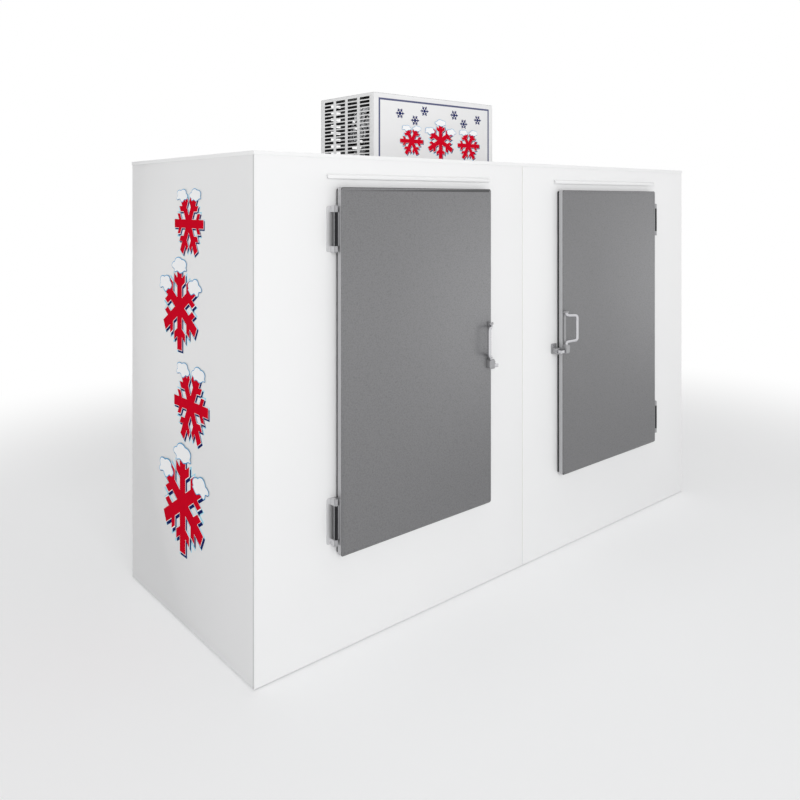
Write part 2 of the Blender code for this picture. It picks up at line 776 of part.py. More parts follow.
def build_insulation():
    """Foam slabs of the floor, roof, back and sides."""
    slabs = {
        "insulation_floor": ((-INNER_SIDE, INNER_FRONT, FLOOR_FOAM_BOTTOM),
                             (INNER_SIDE, INNER_BACK, FLOOR_FOAM_TOP)),
        "insulation_left": ((-INNER_SIDE, INNER_FRONT, WALL_BOTTOM),
                            (FOAM_WALL - INNER_SIDE, INNER_BACK, WALL_TOP)),
        "insulation_right": ((INNER_SIDE - FOAM_WALL, INNER_FRONT, WALL_BOTTOM),
                             (INNER_SIDE, INNER_BACK, WALL_TOP)),
        "insulation_back": ((-LINER_SIDE, INNER_BACK - FOAM_WALL, WALL_BOTTOM),
                            (LINER_SIDE, INNER_BACK, WALL_TOP)),
    }
    for name, (low, high) in slabs.items():
        add_object(name, block_mesh(name, low, high), foam)
    roof = block_mesh("insulation_roof", (-INNER_SIDE, INNER_FRONT, ROOF_FOAM_BOTTOM),
                      (INNER_SIDE, INNER_BACK, ROOF_FOAM_TOP))
    add_object("insulation_roof", cut(roof, line_ports(ROOF_FOAM_BOTTOM, ROOF_FOAM_TOP)), foam)


def build_front_insulation():
    """The foam of the front wall, with a window for each doorway."""
    margin = HALF_OPENING + FRAME_WALL + FIT_GAP
    slab = block_mesh("insulation_front", (-LINER_SIDE, INNER_FRONT, WALL_BOTTOM),
                      (LINER_SIDE, INNER_FRONT + FOAM_WALL, WALL_TOP))
    windows = []
    for centre in (-DOOR_CENTRE, DOOR_CENTRE):
        low = (centre - margin, INNER_FRONT - CUT_OVERRUN, OPENING_BOTTOM - FRAME_WALL - FIT_GAP)
        high = (centre + margin, INNER_FRONT + FOAM_WALL + CUT_OVERRUN, OPENING_TOP + FRAME_WALL + FIT_GAP)
        windows.append(block_mesh("window", low, high))
    add_object("insulation_front", cut(slab, windows), foam)


def build_liner():
    """The inner box of the ice bay, open at both doorways."""
    outer = block_mesh("inner_liner", (-LINER_SIDE, LINER_FRONT, WALL_BOTTOM),
                       (LINER_SIDE, LINER_BACK, WALL_TOP))
    inner = block_mesh("bay", (-BAY_SIDE, BAY_FRONT, BAY_BOTTOM), (BAY_SIDE, BAY_BACK, BAY_TOP))
    tools = [inner]
    margin = HALF_OPENING + FRAME_WALL + FIT_GAP
    for side in (-1, 1):
        low = (DOOR_CENTRE - margin, LINER_FRONT - CUT_OVERRUN, OPENING_BOTTOM - FRAME_WALL - FIT_GAP)
        high = (DOOR_CENTRE + margin, BAY_FRONT + CUT_OVERRUN, OPENING_TOP + FRAME_WALL + FIT_GAP)
        tools.append(mirrored(block_mesh("doorway", low, high), side))
    tools += line_ports(BAY_TOP, WALL_TOP)
    add_object("inner_liner", cut(outer, tools), galvanised)


def build_door_frame(side):
    """The throat lining of a doorway, with a thin lip on the cabinet's face."""
    name = "door_frame_" + side_name(side)

    def ring(outwards, y):
        return rectangle_ring(DOOR_CENTRE - HALF_OPENING - outwards, DOOR_CENTRE + HALF_OPENING + outwards,
                              OPENING_BOTTOM - outwards, OPENING_TOP + outwards, y)
    rings = [ring(0, FRAME_FACE), ring(FRAME_LIP_WIDTH, FRAME_FACE),
             ring(FRAME_LIP_WIDTH, FRAME_FACE + FRAME_LIP_SHEET),
             ring(FRAME_WALL, FRAME_FACE + FRAME_LIP_SHEET), ring(FRAME_WALL, BAY_FRONT), ring(0, BAY_FRONT)]
    add_object(name, mirrored(loft_mesh(name, rings, looped=True), side), white_plastic)


def build_drip_rail(side):
    """The bent strip that throws rain clear of a door."""
    name = "drip_rail_" + side_name(side)
    back = FRONT - FIT_GAP
    face = FRONT - RAIL_PROUD
    top = RAIL_BOTTOM + RAIL_HEIGHT
    drop = top - RAIL_PROUD / 2
    outline = [(back, RAIL_BOTTOM + RAIL_SHEET), (back, top), (back - RAIL_SHEET, top), (face, drop),
               (face, RAIL_BOTTOM), (face + RAIL_SHEET, RAIL_BOTTOM), (face + RAIL_SHEET, drop - RAIL_SHEET),
               (back - RAIL_SHEET, top - RAIL_SHEET * 2), (back - RAIL_SHEET, RAIL_BOTTOM + RAIL_SHEET)]
    start = DOOR_CENTRE - HALF_DOOR - RAIL_OVERHANG_IN
    end = DOOR_CENTRE + HALF_DOOR + RAIL_OVERHANG_OUT
    add_object(name, mirrored(extrude_mesh(name, outline, "X", start, end), side), white_paint)


def build_door_pan(side, empty):
    """The outer skin of a door: a shallow pan with a folded rim round a set-back face."""
    name = "door_skin_" + side_name(side)

    def ring(inset, y):
        radius = max(PAN_CORNER_RADIUS - inset, PAN_SHEET)
        return rounded_ring(DOOR_CENTRE - HALF_DOOR + inset, DOOR_CENTRE + HALF_DOOR - inset,
                            DOOR_BOTTOM + inset, DOOR_TOP - inset, y, radius)
    set_back = PAN_FACE + PAN_RIM_STEP
    rings = [ring(PAN_RIM_WIDTH + PAN_RIM_STEP, set_back), ring(PAN_RIM_WIDTH, PAN_FACE),
             ring(PAN_EDGE_BEVEL, PAN_FACE), ring(0, PAN_FACE + PAN_EDGE_BEVEL), ring(0, PAN_REAR),
             ring(PAN_SHEET, PAN_REAR), ring(PAN_SHEET, set_back + PAN_SHEET)]
    mesh = mirrored(loft_mesh(name, rings), side)
    carry(add_object(name, mesh, stucco_steel), empty)


def build_door_plug(side, empty):
    """The foamed inner half of a door, with drafted sides where it enters the throat."""
    name = "door_plug_" + side_name(side)

    def pan_ring(y):
        inset = PAN_SHEET + FIT_GAP
        radius = max(PAN_CORNER_RADIUS - inset, PAN_SHEET)
        return rounded_ring(DOOR_CENTRE - HALF_DOOR + inset, DOOR_CENTRE + HALF_DOOR - inset,
                            DOOR_BOTTOM + inset, DOOR_TOP - inset, y, radius)

    def plug_ring(inset, y, radius=PLUG_CORNER_RADIUS):
        inset += PLUG_GAP
        return rounded_ring(DOOR_CENTRE - HALF_OPENING + inset, DOOR_CENTRE + HALF_OPENING - inset,
                            OPENING_BOTTOM + inset, OPENING_TOP - inset, y, radius)
    rear = FRONT + PLUG_DEPTH
    start = PAN_FACE + PAN_RIM_STEP + PAN_SHEET + FIT_GAP
    rings = [pan_ring(start), pan_ring(PAN_REAR), plug_ring(0, PAN_REAR), plug_ring(0, FRONT),
             plug_ring(PLUG_DRAFT, rear), plug_ring(PLUG_DRAFT * 2, rear + PLUG_DRAFT)]
    mesh = mirrored(loft_mesh(name, rings), side)
    carry(add_object(name, mesh, white_plastic), empty)


def build_gasket(side, empty):
    """The bellows seal round a door, seated behind its pan."""
    name = "door_gasket_" + side_name(side)
    rear = FRAME_FACE - FIT_GAP
    front = PAN_REAR + FIT_GAP
    middle = (rear + front) / 2

    def ring(inset, y):
        radius = max(PAN_CORNER_RADIUS - inset, PAN_SHEET)
        return rounded_ring(DOOR_CENTRE - HALF_DOOR + inset, DOOR_CENTRE + HALF_DOOR - inset,
                            DOOR_BOTTOM + inset, DOOR_TOP - inset, y, radius, CORNER_STEPS // 2)
    outer = GASKET_INSET
    inner = GASKET_INSET + GASKET_WIDTH
    rings = [ring(outer, front), ring(outer + GASKET_FOLD, middle), ring(outer, rear),
             ring(inner, rear), ring(inner - GASKET_FOLD, middle), ring(inner, front)]
    mesh = mirrored(loft_mesh(name, rings, looped=True), side)
    carry(add_object(name, mesh, rubber), empty)


def hinge_heights():
    """Bottom heights of the lower and the upper hinge."""
    return (DOOR_BOTTOM + HINGE_FROM_BOTTOM - HINGE_HEIGHT / 2,
            DOOR_TOP - HINGE_FROM_TOP - HINGE_HEIGHT / 2)


def knuckle_outline(depth):
    """A knuckle seen from above: round in front, square back to a depth."""
    centre = (HINGE_X, HINGE_AXIS_Y)
    outline = arc_points(centre, KNUCKLE_RADIUS, math.pi, 2 * math.pi, ROUND_STEPS // 2)
    return outline + [(HINGE_X + KNUCKLE_RADIUS, depth), (HINGE_X - KNUCKLE_RADIUS, depth)]


def plate_outline(x0, x1, z0, z1, radius):
    """A rounded plate outline as (across, up) pairs."""
    return [(x, z) for x, _, z in rounded_ring(x0, x1, z0, z1, 0, radius)]


def build_frame_leaf(side, level, base):
    """The hinge leaf on the cabinet: a rounded plate, a knuckle at each end and the fixed pin."""
    name = f"hinge_frame_leaf_{side_name(side)}_{level}"
    door_edge = DOOR_CENTRE + HALF_DOOR
    rear = FRONT - FIT_GAP
    face = rear - HINGE_LEAF_SHEET
    outline = plate_outline(door_edge - GASKET_INSET / 2, door_edge + HINGE_LEAF_REACH, base,
                            base + HINGE_HEIGHT, HINGE_LEAF_CORNER)
    plate = extrude_mesh(name, outline, "Y", face, rear)
    knuckles = []
    for low in (base, base + HINGE_HEIGHT - KNUCKLE_HEIGHT):
        outline = knuckle_outline(rear - HINGE_LEAF_SHEET / 2)
        knuckles.append(extrude_mesh("knuckle", outline, "Z", low, low + KNUCKLE_HEIGHT))
    top = base + HINGE_HEIGHT
    profile = [(0, base + KNUCKLE_HEIGHT / 2), (PIN_RADIUS, base + KNUCKLE_HEIGHT / 2),
               (PIN_RADIUS, top - PIN_HEAD_HEIGHT), (PIN_HEAD_RADIUS, top - PIN_HEAD_HEIGHT),
               (PIN_HEAD_RADIUS, top + PIN_HEAD_HEIGHT / 2), (PIN_RADIUS, top + PIN_HEAD_HEIGHT),
               (0, top + PIN_HEAD_HEIGHT)]
    pin = turned_mesh("pin", profile, (HINGE_X, HINGE_AXIS_Y, 0), "Z", ROUND_STEPS // 2)
    mesh = join(plate, knuckles + [pin])
    add_object(name, mirrored(mesh, side), chrome, smooth=True)


def build_door_leaf(side, level, base, empty):
    """The hinge leaf on the door's edge, with the long sleeve that turns on the pin."""
    name = f"hinge_door_leaf_{side_name(side)}_{level}"
    door_edge = DOOR_CENTRE + HALF_DOOR
    low = base + KNUCKLE_HEIGHT + KNUCKLE_GAP
    high = base + HINGE_HEIGHT - KNUCKLE_HEIGHT - KNUCKLE_GAP
    front = PAN_FACE + PAN_EDGE_BEVEL
    x0 = door_edge + FIT_GAP
    plate = block_mesh(name, (x0, front, base), (x0 + DOOR_LEAF_SHEET, PAN_REAR, base + HINGE_HEIGHT))
    web = block_mesh("web", (x0 + DOOR_LEAF_SHEET / 2, HINGE_AXIS_Y - DOOR_LEAF_WEB / 2, low),
                     (HINGE_X, HINGE_AXIS_Y + DOOR_LEAF_WEB / 2, high))
    sleeve = cylinder_mesh("sleeve", KNUCKLE_RADIUS, (HINGE_X, HINGE_AXIS_Y, 0), "Z", low, high)
    bore = cylinder_mesh("bore", PIN_RADIUS + PIN_CLEARANCE, (HINGE_X, HINGE_AXIS_Y, 0), "Z",
                         low - BORE_OVERRUN, high + BORE_OVERRUN)
    mesh = cut(join(plate, [web, sleeve]), [bore])
    carry(add_object(name, mirrored(mesh, side), black_enamel, smooth=True), empty)


def build_hinges(side, empty):
    """The lower and upper hinge of one door."""
    for level, base in zip(("lower", "upper"), hinge_heights()):
        build_frame_leaf(side, level, base)
        build_door_leaf(side, level, base, empty)


def build_latch_body(side, empty):
    """The latch case on the door with its back strip and the handle's upper bracket."""
    name = "latch_body_" + side_name(side)
    rear = PAN_FACE - FIT_GAP
    face = PAN_FACE - LATCH_DEPTH
    x0 = FREE_EDGE + LATCH_EDGE_INSET
    x1 = FREE_EDGE + LATCH_LENGTH
    middle = LATCH_CENTRE_HEIGHT
    half = LATCH_HEIGHT / 2

    def case_ring(inset, y):
        ring = [(x0, y, middle - half + inset)]
        for end, start in ((-1, -math.pi / 2), (1, 0)):
            centre = (x1 - LATCH_END_RADIUS, middle + end * (half - LATCH_END_RADIUS))
            arc = arc_points(centre, LATCH_END_RADIUS - inset, start, start + math.pi / 2, CORNER_STEPS)
            ring += [(x, y, z) for x, z in arc]
        ring.append((x0, y, middle + half - inset))
        return ring
    case = loft_mesh(name, [case_ring(LATCH_NOSE_BEVEL / 2, face),
                            case_ring(0, face + LATCH_NOSE_BEVEL / 2), case_ring(0, rear)])
    strip = block_mesh("strip", (PIVOT_X - STRIP_WIDTH / 2, rear - STRIP_SHEET, middle),
                       (PIVOT_X + STRIP_WIDTH / 2, rear, BRACKET_TOP))
    outline = arc_points((PIVOT_X, PIVOT_Y), BRACKET_RADIUS, math.pi, 2 * math.pi, 2 * CORNER_STEPS)
    depth = rear - STRIP_SHEET / 2
    outline += [(PIVOT_X + BRACKET_RADIUS, depth), (PIVOT_X - BRACKET_RADIUS, depth)]
    bracket = extrude_mesh("bracket", outline, "Z", BRACKET_BOTTOM, BRACKET_TOP)
    body = join(case, [strip, bracket])
    cavity_end = PIVOT_X + CAM_RADIUS + BOLT_CLEARANCE * 2
    cavity = block_mesh("cavity", (x0 + LATCH_WALL, face + LATCH_WALL, LATCH_BOTTOM + LATCH_WALL),
                        (cavity_end, rear + CUT_OVERRUN, CAM_TOP + BOLT_CLEARANCE))
    half_depth = BOLT_DEPTH / 2 + BOLT_CLEARANCE
    mouth = block_mesh("mouth", (x0 - CUT_OVERRUN, PIVOT_Y - half_depth, BOLT_BOTTOM - BOLT_CLEARANCE),
                       (x0 + LATCH_WALL + BORE_OVERRUN, PIVOT_Y + half_depth, BOLT_TOP + BOLT_CLEARANCE))
    stub = GRIP_RADIUS + STUB_CLEARANCE
    lower_bore = cylinder_mesh("bore", stub, (PIVOT_X, PIVOT_Y, 0), "Z", CAM_TOP, LATCH_TOP + BORE_OVERRUN)
    upper_bore = cylinder_mesh("bore", stub, (PIVOT_X, PIVOT_Y, 0), "Z",
                               BRACKET_BOTTOM - BORE_OVERRUN, BRACKET_TOP + BORE_OVERRUN)
    mesh = cut(body, [cavity, mouth, lower_bore, upper_bore])
    carry(add_object(name, mirrored(mesh, side), chrome, smooth=True), empty)


def build_handle(side, empty):
    """The D handle: one bent bar whose two ends turn in the latch case and its bracket."""
    name = "handle_" + side_name(side)
    grip = (PIVOT_X + GRIP_REACH_IN, PIVOT_Y - GRIP_REACH_OUT)
    low_turn = LATCH_TOP + GRIP_RADIUS + FIT_GAP + HANDLE_BEND_RADIUS / 2
    corners = [(PIVOT_X, PIVOT_Y, BRACKET_TOP), (PIVOT_X, PIVOT_Y, HANDLE_TOP - GRIP_RADIUS),
               (*grip, HANDLE_TOP - GRIP_RADIUS), (*grip, GRIP_LOW),
               (PIVOT_X, PIVOT_Y, low_turn), (PIVOT_X, PIVOT_Y, CAM_BOTTOM + CAM_HEIGHT / 2)]
    bar = tube_mesh(name, tube_path(corners, HANDLE_BEND_RADIUS), GRIP_RADIUS)
    cam = cylinder_mesh("cam", CAM_RADIUS, (PIVOT_X, PIVOT_Y, 0), "Z", CAM_BOTTOM, CAM_TOP)
    pin_place = (CAM_PIN_X, PIVOT_Y + CAM_PIN_OFFSET * math.cos(HANDLE_SWING / 2), 0)
    pin = cylinder_mesh("pin", CAM_PIN_RADIUS, pin_place, "Z", BOLT_BOTTOM + BOLT_CLEARANCE,
                        CAM_BOTTOM + CAM_HEIGHT / 2, ROUND_STEPS // 2)
    mesh = join(bar, [cam, pin])
    carry(add_object(name, mirrored(mesh, side), chrome, smooth=True), empty)


def build_bolt(side, empty):
    """The sliding bolt: a fork round the cam's pin, a bar out of the case and a nose into the strike."""
    name = "latch_bolt_" + side_name(side)
    rear = PIVOT_Y + BOLT_DEPTH / 2
    face = PIVOT_Y - BOLT_DEPTH / 2
    tip = FREE_EDGE - BOLT_NOSE_OUT
    half = CAM_PIN_RADIUS + CAM_PIN_CLEARANCE
    prong = half + BOLT_TAIL
    bar = block_mesh(name, (tip, face, BOLT_BOTTOM), (CAM_PIN_X + prong, rear, BOLT_TOP))
    tail = block_mesh("tail", (CAM_PIN_X - prong, PIVOT_Y, BOLT_BOTTOM),
                      (CAM_PIN_X + prong, PAN_FACE - BOLT_CLEARANCE * 2, BOLT_TOP))
    nose = block_mesh("nose", (tip, rear - BOLT_DEPTH / 2, BOLT_BOTTOM),
                      (tip + BOLT_NOSE_LENGTH, FRONT - BOLT_NOSE_FACE_GAP, BOLT_TOP))
    start = PIVOT_Y + CAM_PIN_OFFSET * math.cos(HANDLE_SWING / 2) - CAM_PIN_RADIUS - SLOT_SPARE
    slot = block_mesh("slot", (CAM_PIN_X - half, start, BOLT_BOTTOM - BORE_OVERRUN),
                      (CAM_PIN_X + half, PAN_FACE + BORE_OVERRUN, BOLT_TOP + BORE_OVERRUN))
    mesh = cut(join(bar, [nose, tail]), [slot])
    carry(add_object(name, mirrored(mesh, side), chrome), empty)


def build_strike(side):
    """The keeper on the cabinet: a plate with two cheeks, an end wall and a short lip."""
    name = "strike_" + side_name(side)
    rear = FRONT - FIT_GAP
    face = FRONT - STRIKE_PROUD
    x1 = FREE_EDGE - STRIKE_START
    x0 = x1 - STRIKE_LENGTH
    z0 = LATCH_CENTRE_HEIGHT - STRIKE_HEIGHT / 2
    z1 = z0 + STRIKE_HEIGHT
    tip = FREE_EDGE - BOLT_NOSE_OUT - STRIKE_CLEARANCE
    plate = extrude_mesh(name, plate_outline(x0, x1, z0, z1, STRIKE_CHEEK_BEVEL), "Y",
                         rear - STRIKE_PLATE, rear)
    root = rear - STRIKE_PLATE / 2
    gap_low = BOLT_BOTTOM - STRIKE_CLEARANCE
    gap_high = BOLT_TOP + STRIKE_CLEARANCE
    pieces = []
    for low, high in ((gap_low - STRIKE_CHEEK, gap_low), (gap_high, gap_high + STRIKE_CHEEK)):
        outline = [(x1, root), (x0 + STRIKE_CHEEK, root), (x0 + STRIKE_CHEEK, face + STRIKE_CHEEK_BEVEL),
                   (x0 + STRIKE_CHEEK + STRIKE_CHEEK_BEVEL, face), (x1 - STRIKE_CHEEK_BEVEL, face),
                   (x1, face + STRIKE_CHEEK_BEVEL)]
        pieces.append(extrude_mesh("cheek", outline, "Z", low, high))
    low = (x0 + STRIKE_END_INSET, face + STRIKE_LIP_SHEET, gap_low - STRIKE_CHEEK / 2)
    high = (tip, root, gap_high + STRIKE_CHEEK / 2)
    pieces.append(block_mesh("end", low, high))
    mesh = join(plate, pieces)
    add_object(name, mirrored(mesh, side), chrome)


def build_door(side):
    """Everything that turns with one door, and the latch on it."""
    word = side_name(side)
    door = joint_empty(f"door_{word}_axis", (side * HINGE_X, HINGE_AXIS_Y, DOOR_BOTTOM))
    build_door_pan(side, door)
    build_door_plug(side, door)
    build_gasket(side, door)
    build_hinges(side, door)
    build_latch_body(side, door)
    pivot = (side * PIVOT_X, PIVOT_Y, LATCH_CENTRE_HEIGHT)
    build_handle(side, joint_empty(f"handle_{word}_axis", pivot, door))
    build_bolt(side, joint_empty(f"latch_bolt_{word}_axis", pivot, door))


def slot_cutters(columns, rows, width, height, pitch, row_pitch, centre, top):
    """Rectangles (across, up) of a field of slots, from its top row down."""
    places = []
    for column in range(columns):
        middle = centre + (column - (columns - 1) / 2) * pitch
        for row in range(rows):
            upper = top - row * row_pitch
            places.append((middle - width / 2, middle + width / 2, upper - height, upper))
    return places


def build_unit_base():
    """The tray that the condensing unit stands in."""
    inset = UNIT_SHEET + FIT_GAP

    def ring(inwards, z):
        x = UNIT_HALF - inset - inwards
        y0 = UNIT_FRONT + inset + inwards
        y1 = UNIT_BACK - inset - inwards
        return [(-x, y0, z), (x, y0, z), (x, y1, z), (-x, y1, z)]
    top = UNIT_BOTTOM + UNIT_BASE_HEIGHT
    rings = [ring(0, UNIT_BOTTOM), ring(0, top), ring(UNIT_SHEET, top), ring(UNIT_SHEET, UNIT_FLOOR)]
    mesh = cut(loft_mesh("unit_base", rings), line_ports(UNIT_BOTTOM, UNIT_FLOOR))
    add_object("unit_base", mesh, galvanised)


def build_side_grille(side):
    """A slotted side of the housing."""
    name = "unit_grille_" + side_name(side)
    low = (UNIT_HALF - UNIT_SHEET, UNIT_FRONT + UNIT_SHEET + FIT_GAP, UNIT_BOTTOM)
    high = (UNIT_HALF, UNIT_BACK - UNIT_SHEET - FIT_GAP, UNIT_WALL_TOP)
    slots = slot_cutters(SLOT_COLUMNS, SLOT_ROWS, SLOT_WIDTH, SLOT_HEIGHT, SLOT_PITCH, SLOT_ROW_PITCH,
                         UNIT_MIDDLE, UNIT_TOP - SLOT_TOP_INSET)
    pairs = [((low[0] - CUT_OVERRUN, y0, z0), (high[0] + CUT_OVERRUN, y1, z1)) for y0, y1, z0, z1 in slots]
    mesh = cut(block_mesh(name, low, high), [blocks_mesh("slots", pairs)])
    add_object(name, mirrored(mesh, side), white_paint)


def build_back_grille():
    """The slotted back of the housing, which the condenser draws through."""
    low = (-UNIT_HALF, UNIT_BACK - UNIT_SHEET, UNIT_BOTTOM)
    high = (UNIT_HALF, UNIT_BACK, UNIT_WALL_TOP)
    slots = slot_cutters(BACK_SLOT_COLUMNS, BACK_SLOT_ROWS, BACK_SLOT_WIDTH, BACK_SLOT_HEIGHT,
                         BACK_SLOT_PITCH, BACK_SLOT_ROW_PITCH, 0, UNIT_TOP - SLOT_TOP_INSET)
    pairs = [((x0, low[1] - CUT_OVERRUN, z0), (x1, high[1] + CUT_OVERRUN, z1)) for x0, x1, z0, z1 in slots]
    centre = (UNIT_HALF - GLAND_INSET, UNIT_BACK, UNIT_BOTTOM + GLAND_RISE)
    hole = cylinder_mesh("hole", GLAND_NECK_RADIUS + FIT_GAP, centre, "Y", -CUT_OVERRUN, CUT_OVERRUN)
    mesh = cut(block_mesh("unit_back_grille", low, high), [blocks_mesh("slots", pairs), hole])
    add_object("unit_back_grille", mesh, white_paint)


def build_sign_panel():
    """The plain front of the housing, with a slightly raised field for a sign."""
    def ring(inset, y):
        return rectangle_ring(-UNIT_HALF + inset, UNIT_HALF - inset, UNIT_BOTTOM + inset,
                              UNIT_WALL_TOP - inset, y)
    rings = [ring(SIGN_INSET + SIGN_RAISE, UNIT_FRONT), ring(SIGN_INSET, UNIT_FRONT + SIGN_RAISE / 2),
             ring(0, UNIT_FRONT + SIGN_RAISE / 2), ring(0, UNIT_FRONT + UNIT_SHEET)]
    add_object("unit_sign_panel", loft_mesh("unit_sign_panel", rings), white_paint)


def build_unit_lid():
    """The lid of the housing, with its rim turned down inside the walls."""
    inset = UNIT_SHEET + FIT_GAP

    def ring(inwards, z):
        x = UNIT_HALF - inwards
        y0 = UNIT_FRONT + inwards
        y1 = UNIT_BACK - inwards
        return [(-x, y0, z), (x, y0, z), (x, y1, z), (-x, y1, z)]
    under = UNIT_TOP - UNIT_SHEET
    rim = under - UNIT_LID_RIM
    rings = [ring(SEAM_BEVEL, UNIT_TOP), ring(0, UNIT_TOP - SEAM_BEVEL), ring(0, under), ring(inset, under),
             ring(inset, rim), ring(inset + UNIT_SHEET, rim), ring(inset + UNIT_SHEET, under)]
    add_object("unit_lid", loft_mesh("unit_lid", rings), white_paint)


def fan_mesh(name, centre, axis, hub_radius, hub_length, tip_radius, bore_radius):
    """A fan whose blades are twisted, swept and cupped by formula, fused to its hub."""
    place = axis_frame(centre, axis)
    stations = FAN_STATIONS
    across = FAN_STEPS
    blades = []
    inner = hub_radius - FAN_BLADE_SHEET
    for blade in range(FAN_BLADES):
        base = 2 * math.pi * blade / FAN_BLADES
        sides = ([], [])
        for station in range(stations + 1):
            out = station / stations
            radius = inner + (tip_radius - inner) * out
            chord = FAN_BLADE_CHORD * (FAN_ROOT_CHORD_SHARE + (1 - FAN_ROOT_CHORD_SHARE) * out)
            rise = hub_length * FAN_RISE_SHARE * (1 - FAN_TIP_RISE_LOSS_SHARE * out)
            for step in range(across + 1):
                along = step / across - 0.5
                angle = base + FAN_BLADE_SWEEP * out * out + chord * along
                cup = hub_length * FAN_CUP_SHARE * (1 - 4 * along * along)
                height = rise * along + cup
                x = radius * math.cos(angle)
                y = radius * math.sin(angle)
                for layer, offset in zip(sides, (-FAN_BLADE_SHEET / 2, FAN_BLADE_SHEET / 2)):
                    layer.append(place @ Vector((x, y, height + offset)))
        columns = across + 1
        total = len(sides[0])
        faces = []
        for station in range(stations):
            for step in range(across):
                a = station * columns + step
                b = a + 1
                c = b + columns
                d = a + columns
                faces.append((a, b, c, d))
                faces.append((d + total, c + total, b + total, a + total))
        rim = [step for step in range(columns)]
        rim += [station * columns + across for station in range(1, stations + 1)]
        rim += [stations * columns + step for step in range(across - 1, -1, -1)]
        rim += [station * columns for station in range(stations - 1, 0, -1)]
        for one, two in zip(rim, rim[1:] + rim[:1]):
            faces.append((one, two, two + total, one + total))
        blades.append(mesh_from("blade", sides[0] + sides[1], faces))
    half = hub_length / 2
    profile = [(bore_radius, -half), (hub_radius, -half), (hub_radius, half), (bore_radius, half)]
    hub = turned_mesh(name, profile, centre, axis, looped=True)
    return join(hub, blades)


def build_condenser_shroud():
    """The flanged plate round the condenser fan, with a turned orifice and a wire guard."""
    y0 = UNIT_FRONT + INSIDE_RIM + FIT_GAP
    y1 = UNIT_BACK - INSIDE_RIM - FIT_GAP
    z0 = UNIT_FLOOR + FIT_GAP
    z1 = SHROUD_TOP - FIT_GAP
    outline = [(SHROUD_X, y0), (SHROUD_X + SHROUD_FLANGE, y0),
               (SHROUD_X + SHROUD_FLANGE, y0 + SHROUD_SHEET), (SHROUD_X + SHROUD_SHEET, y0 + SHROUD_SHEET),
               (SHROUD_X + SHROUD_SHEET, y1 - SHROUD_SHEET), (SHROUD_X + SHROUD_FLANGE, y1 - SHROUD_SHEET),
               (SHROUD_X + SHROUD_FLANGE, y1), (SHROUD_X, y1)]
    plate = extrude_mesh("condenser_shroud", outline, "Z", z0, z1)
    centre = (SHROUD_X, UNIT_MIDDLE, FAN_HEIGHT)
    lip = cylinder_mesh("lip", ORIFICE_RADIUS + SHROUD_SHEET, centre, "X", -ORIFICE_LIP, SHROUD_SHEET / 2,
                        FINE_STEPS)
    hole = cylinder_mesh("hole", ORIFICE_RADIUS, centre, "X", -ORIFICE_LIP - CUT_OVERRUN, CUT_OVERRUN,
                         FINE_STEPS)
    mesh = join(cut(join(plate, [lip]), [hole]), guard_pieces())
    add_object("condenser_shroud", mesh, galvanised, smooth=True)


def guard_pieces():
    """The fan guard in front of the orifice: concentric wires, crossed spokes and their legs."""
    centre = (SHROUD_X - GUARD_FROM_SHROUD, UNIT_MIDDLE, FAN_HEIGHT)
    outer = ORIFICE_RADIUS + GUARD_OVERLAP
    inner = FAN_HUB_RADIUS
    half = GUARD_WIRE / 2
    rings = []
    for index in range(GUARD_RINGS):
        radius = inner + (outer - inner) * index / (GUARD_RINGS - 1)
        section = [(radius - half, -half), (radius + half, -half), (radius + half, half),
                   (radius - half, half)]
        rings.append(turned_mesh("ring", section, centre, "X", FINE_STEPS, looped=True))
    spokes = []
    thin = half * GUARD_SPOKE_SHARE
    leg_end = GUARD_FROM_SHROUD + SHROUD_SHEET / 2
    for index in range(GUARD_SPOKES):
        angle = math.pi * 2 * (index / GUARD_SPOKES + 0.5 / FINE_STEPS)
        turn = axis_frame(centre, "X") @ Matrix.Rotation(angle, 4, "Z")
        spoke = block_mesh("spoke", (inner, -thin, -thin), (outer, thin, thin))
        leg = block_mesh("leg", (outer - thin / 2, -thin / 2, 0), (outer + thin / 2, thin / 2, leg_end))
        for piece in (spoke, leg):
            piece.transform(turn)
            spokes.append(piece)
    return rings + spokes


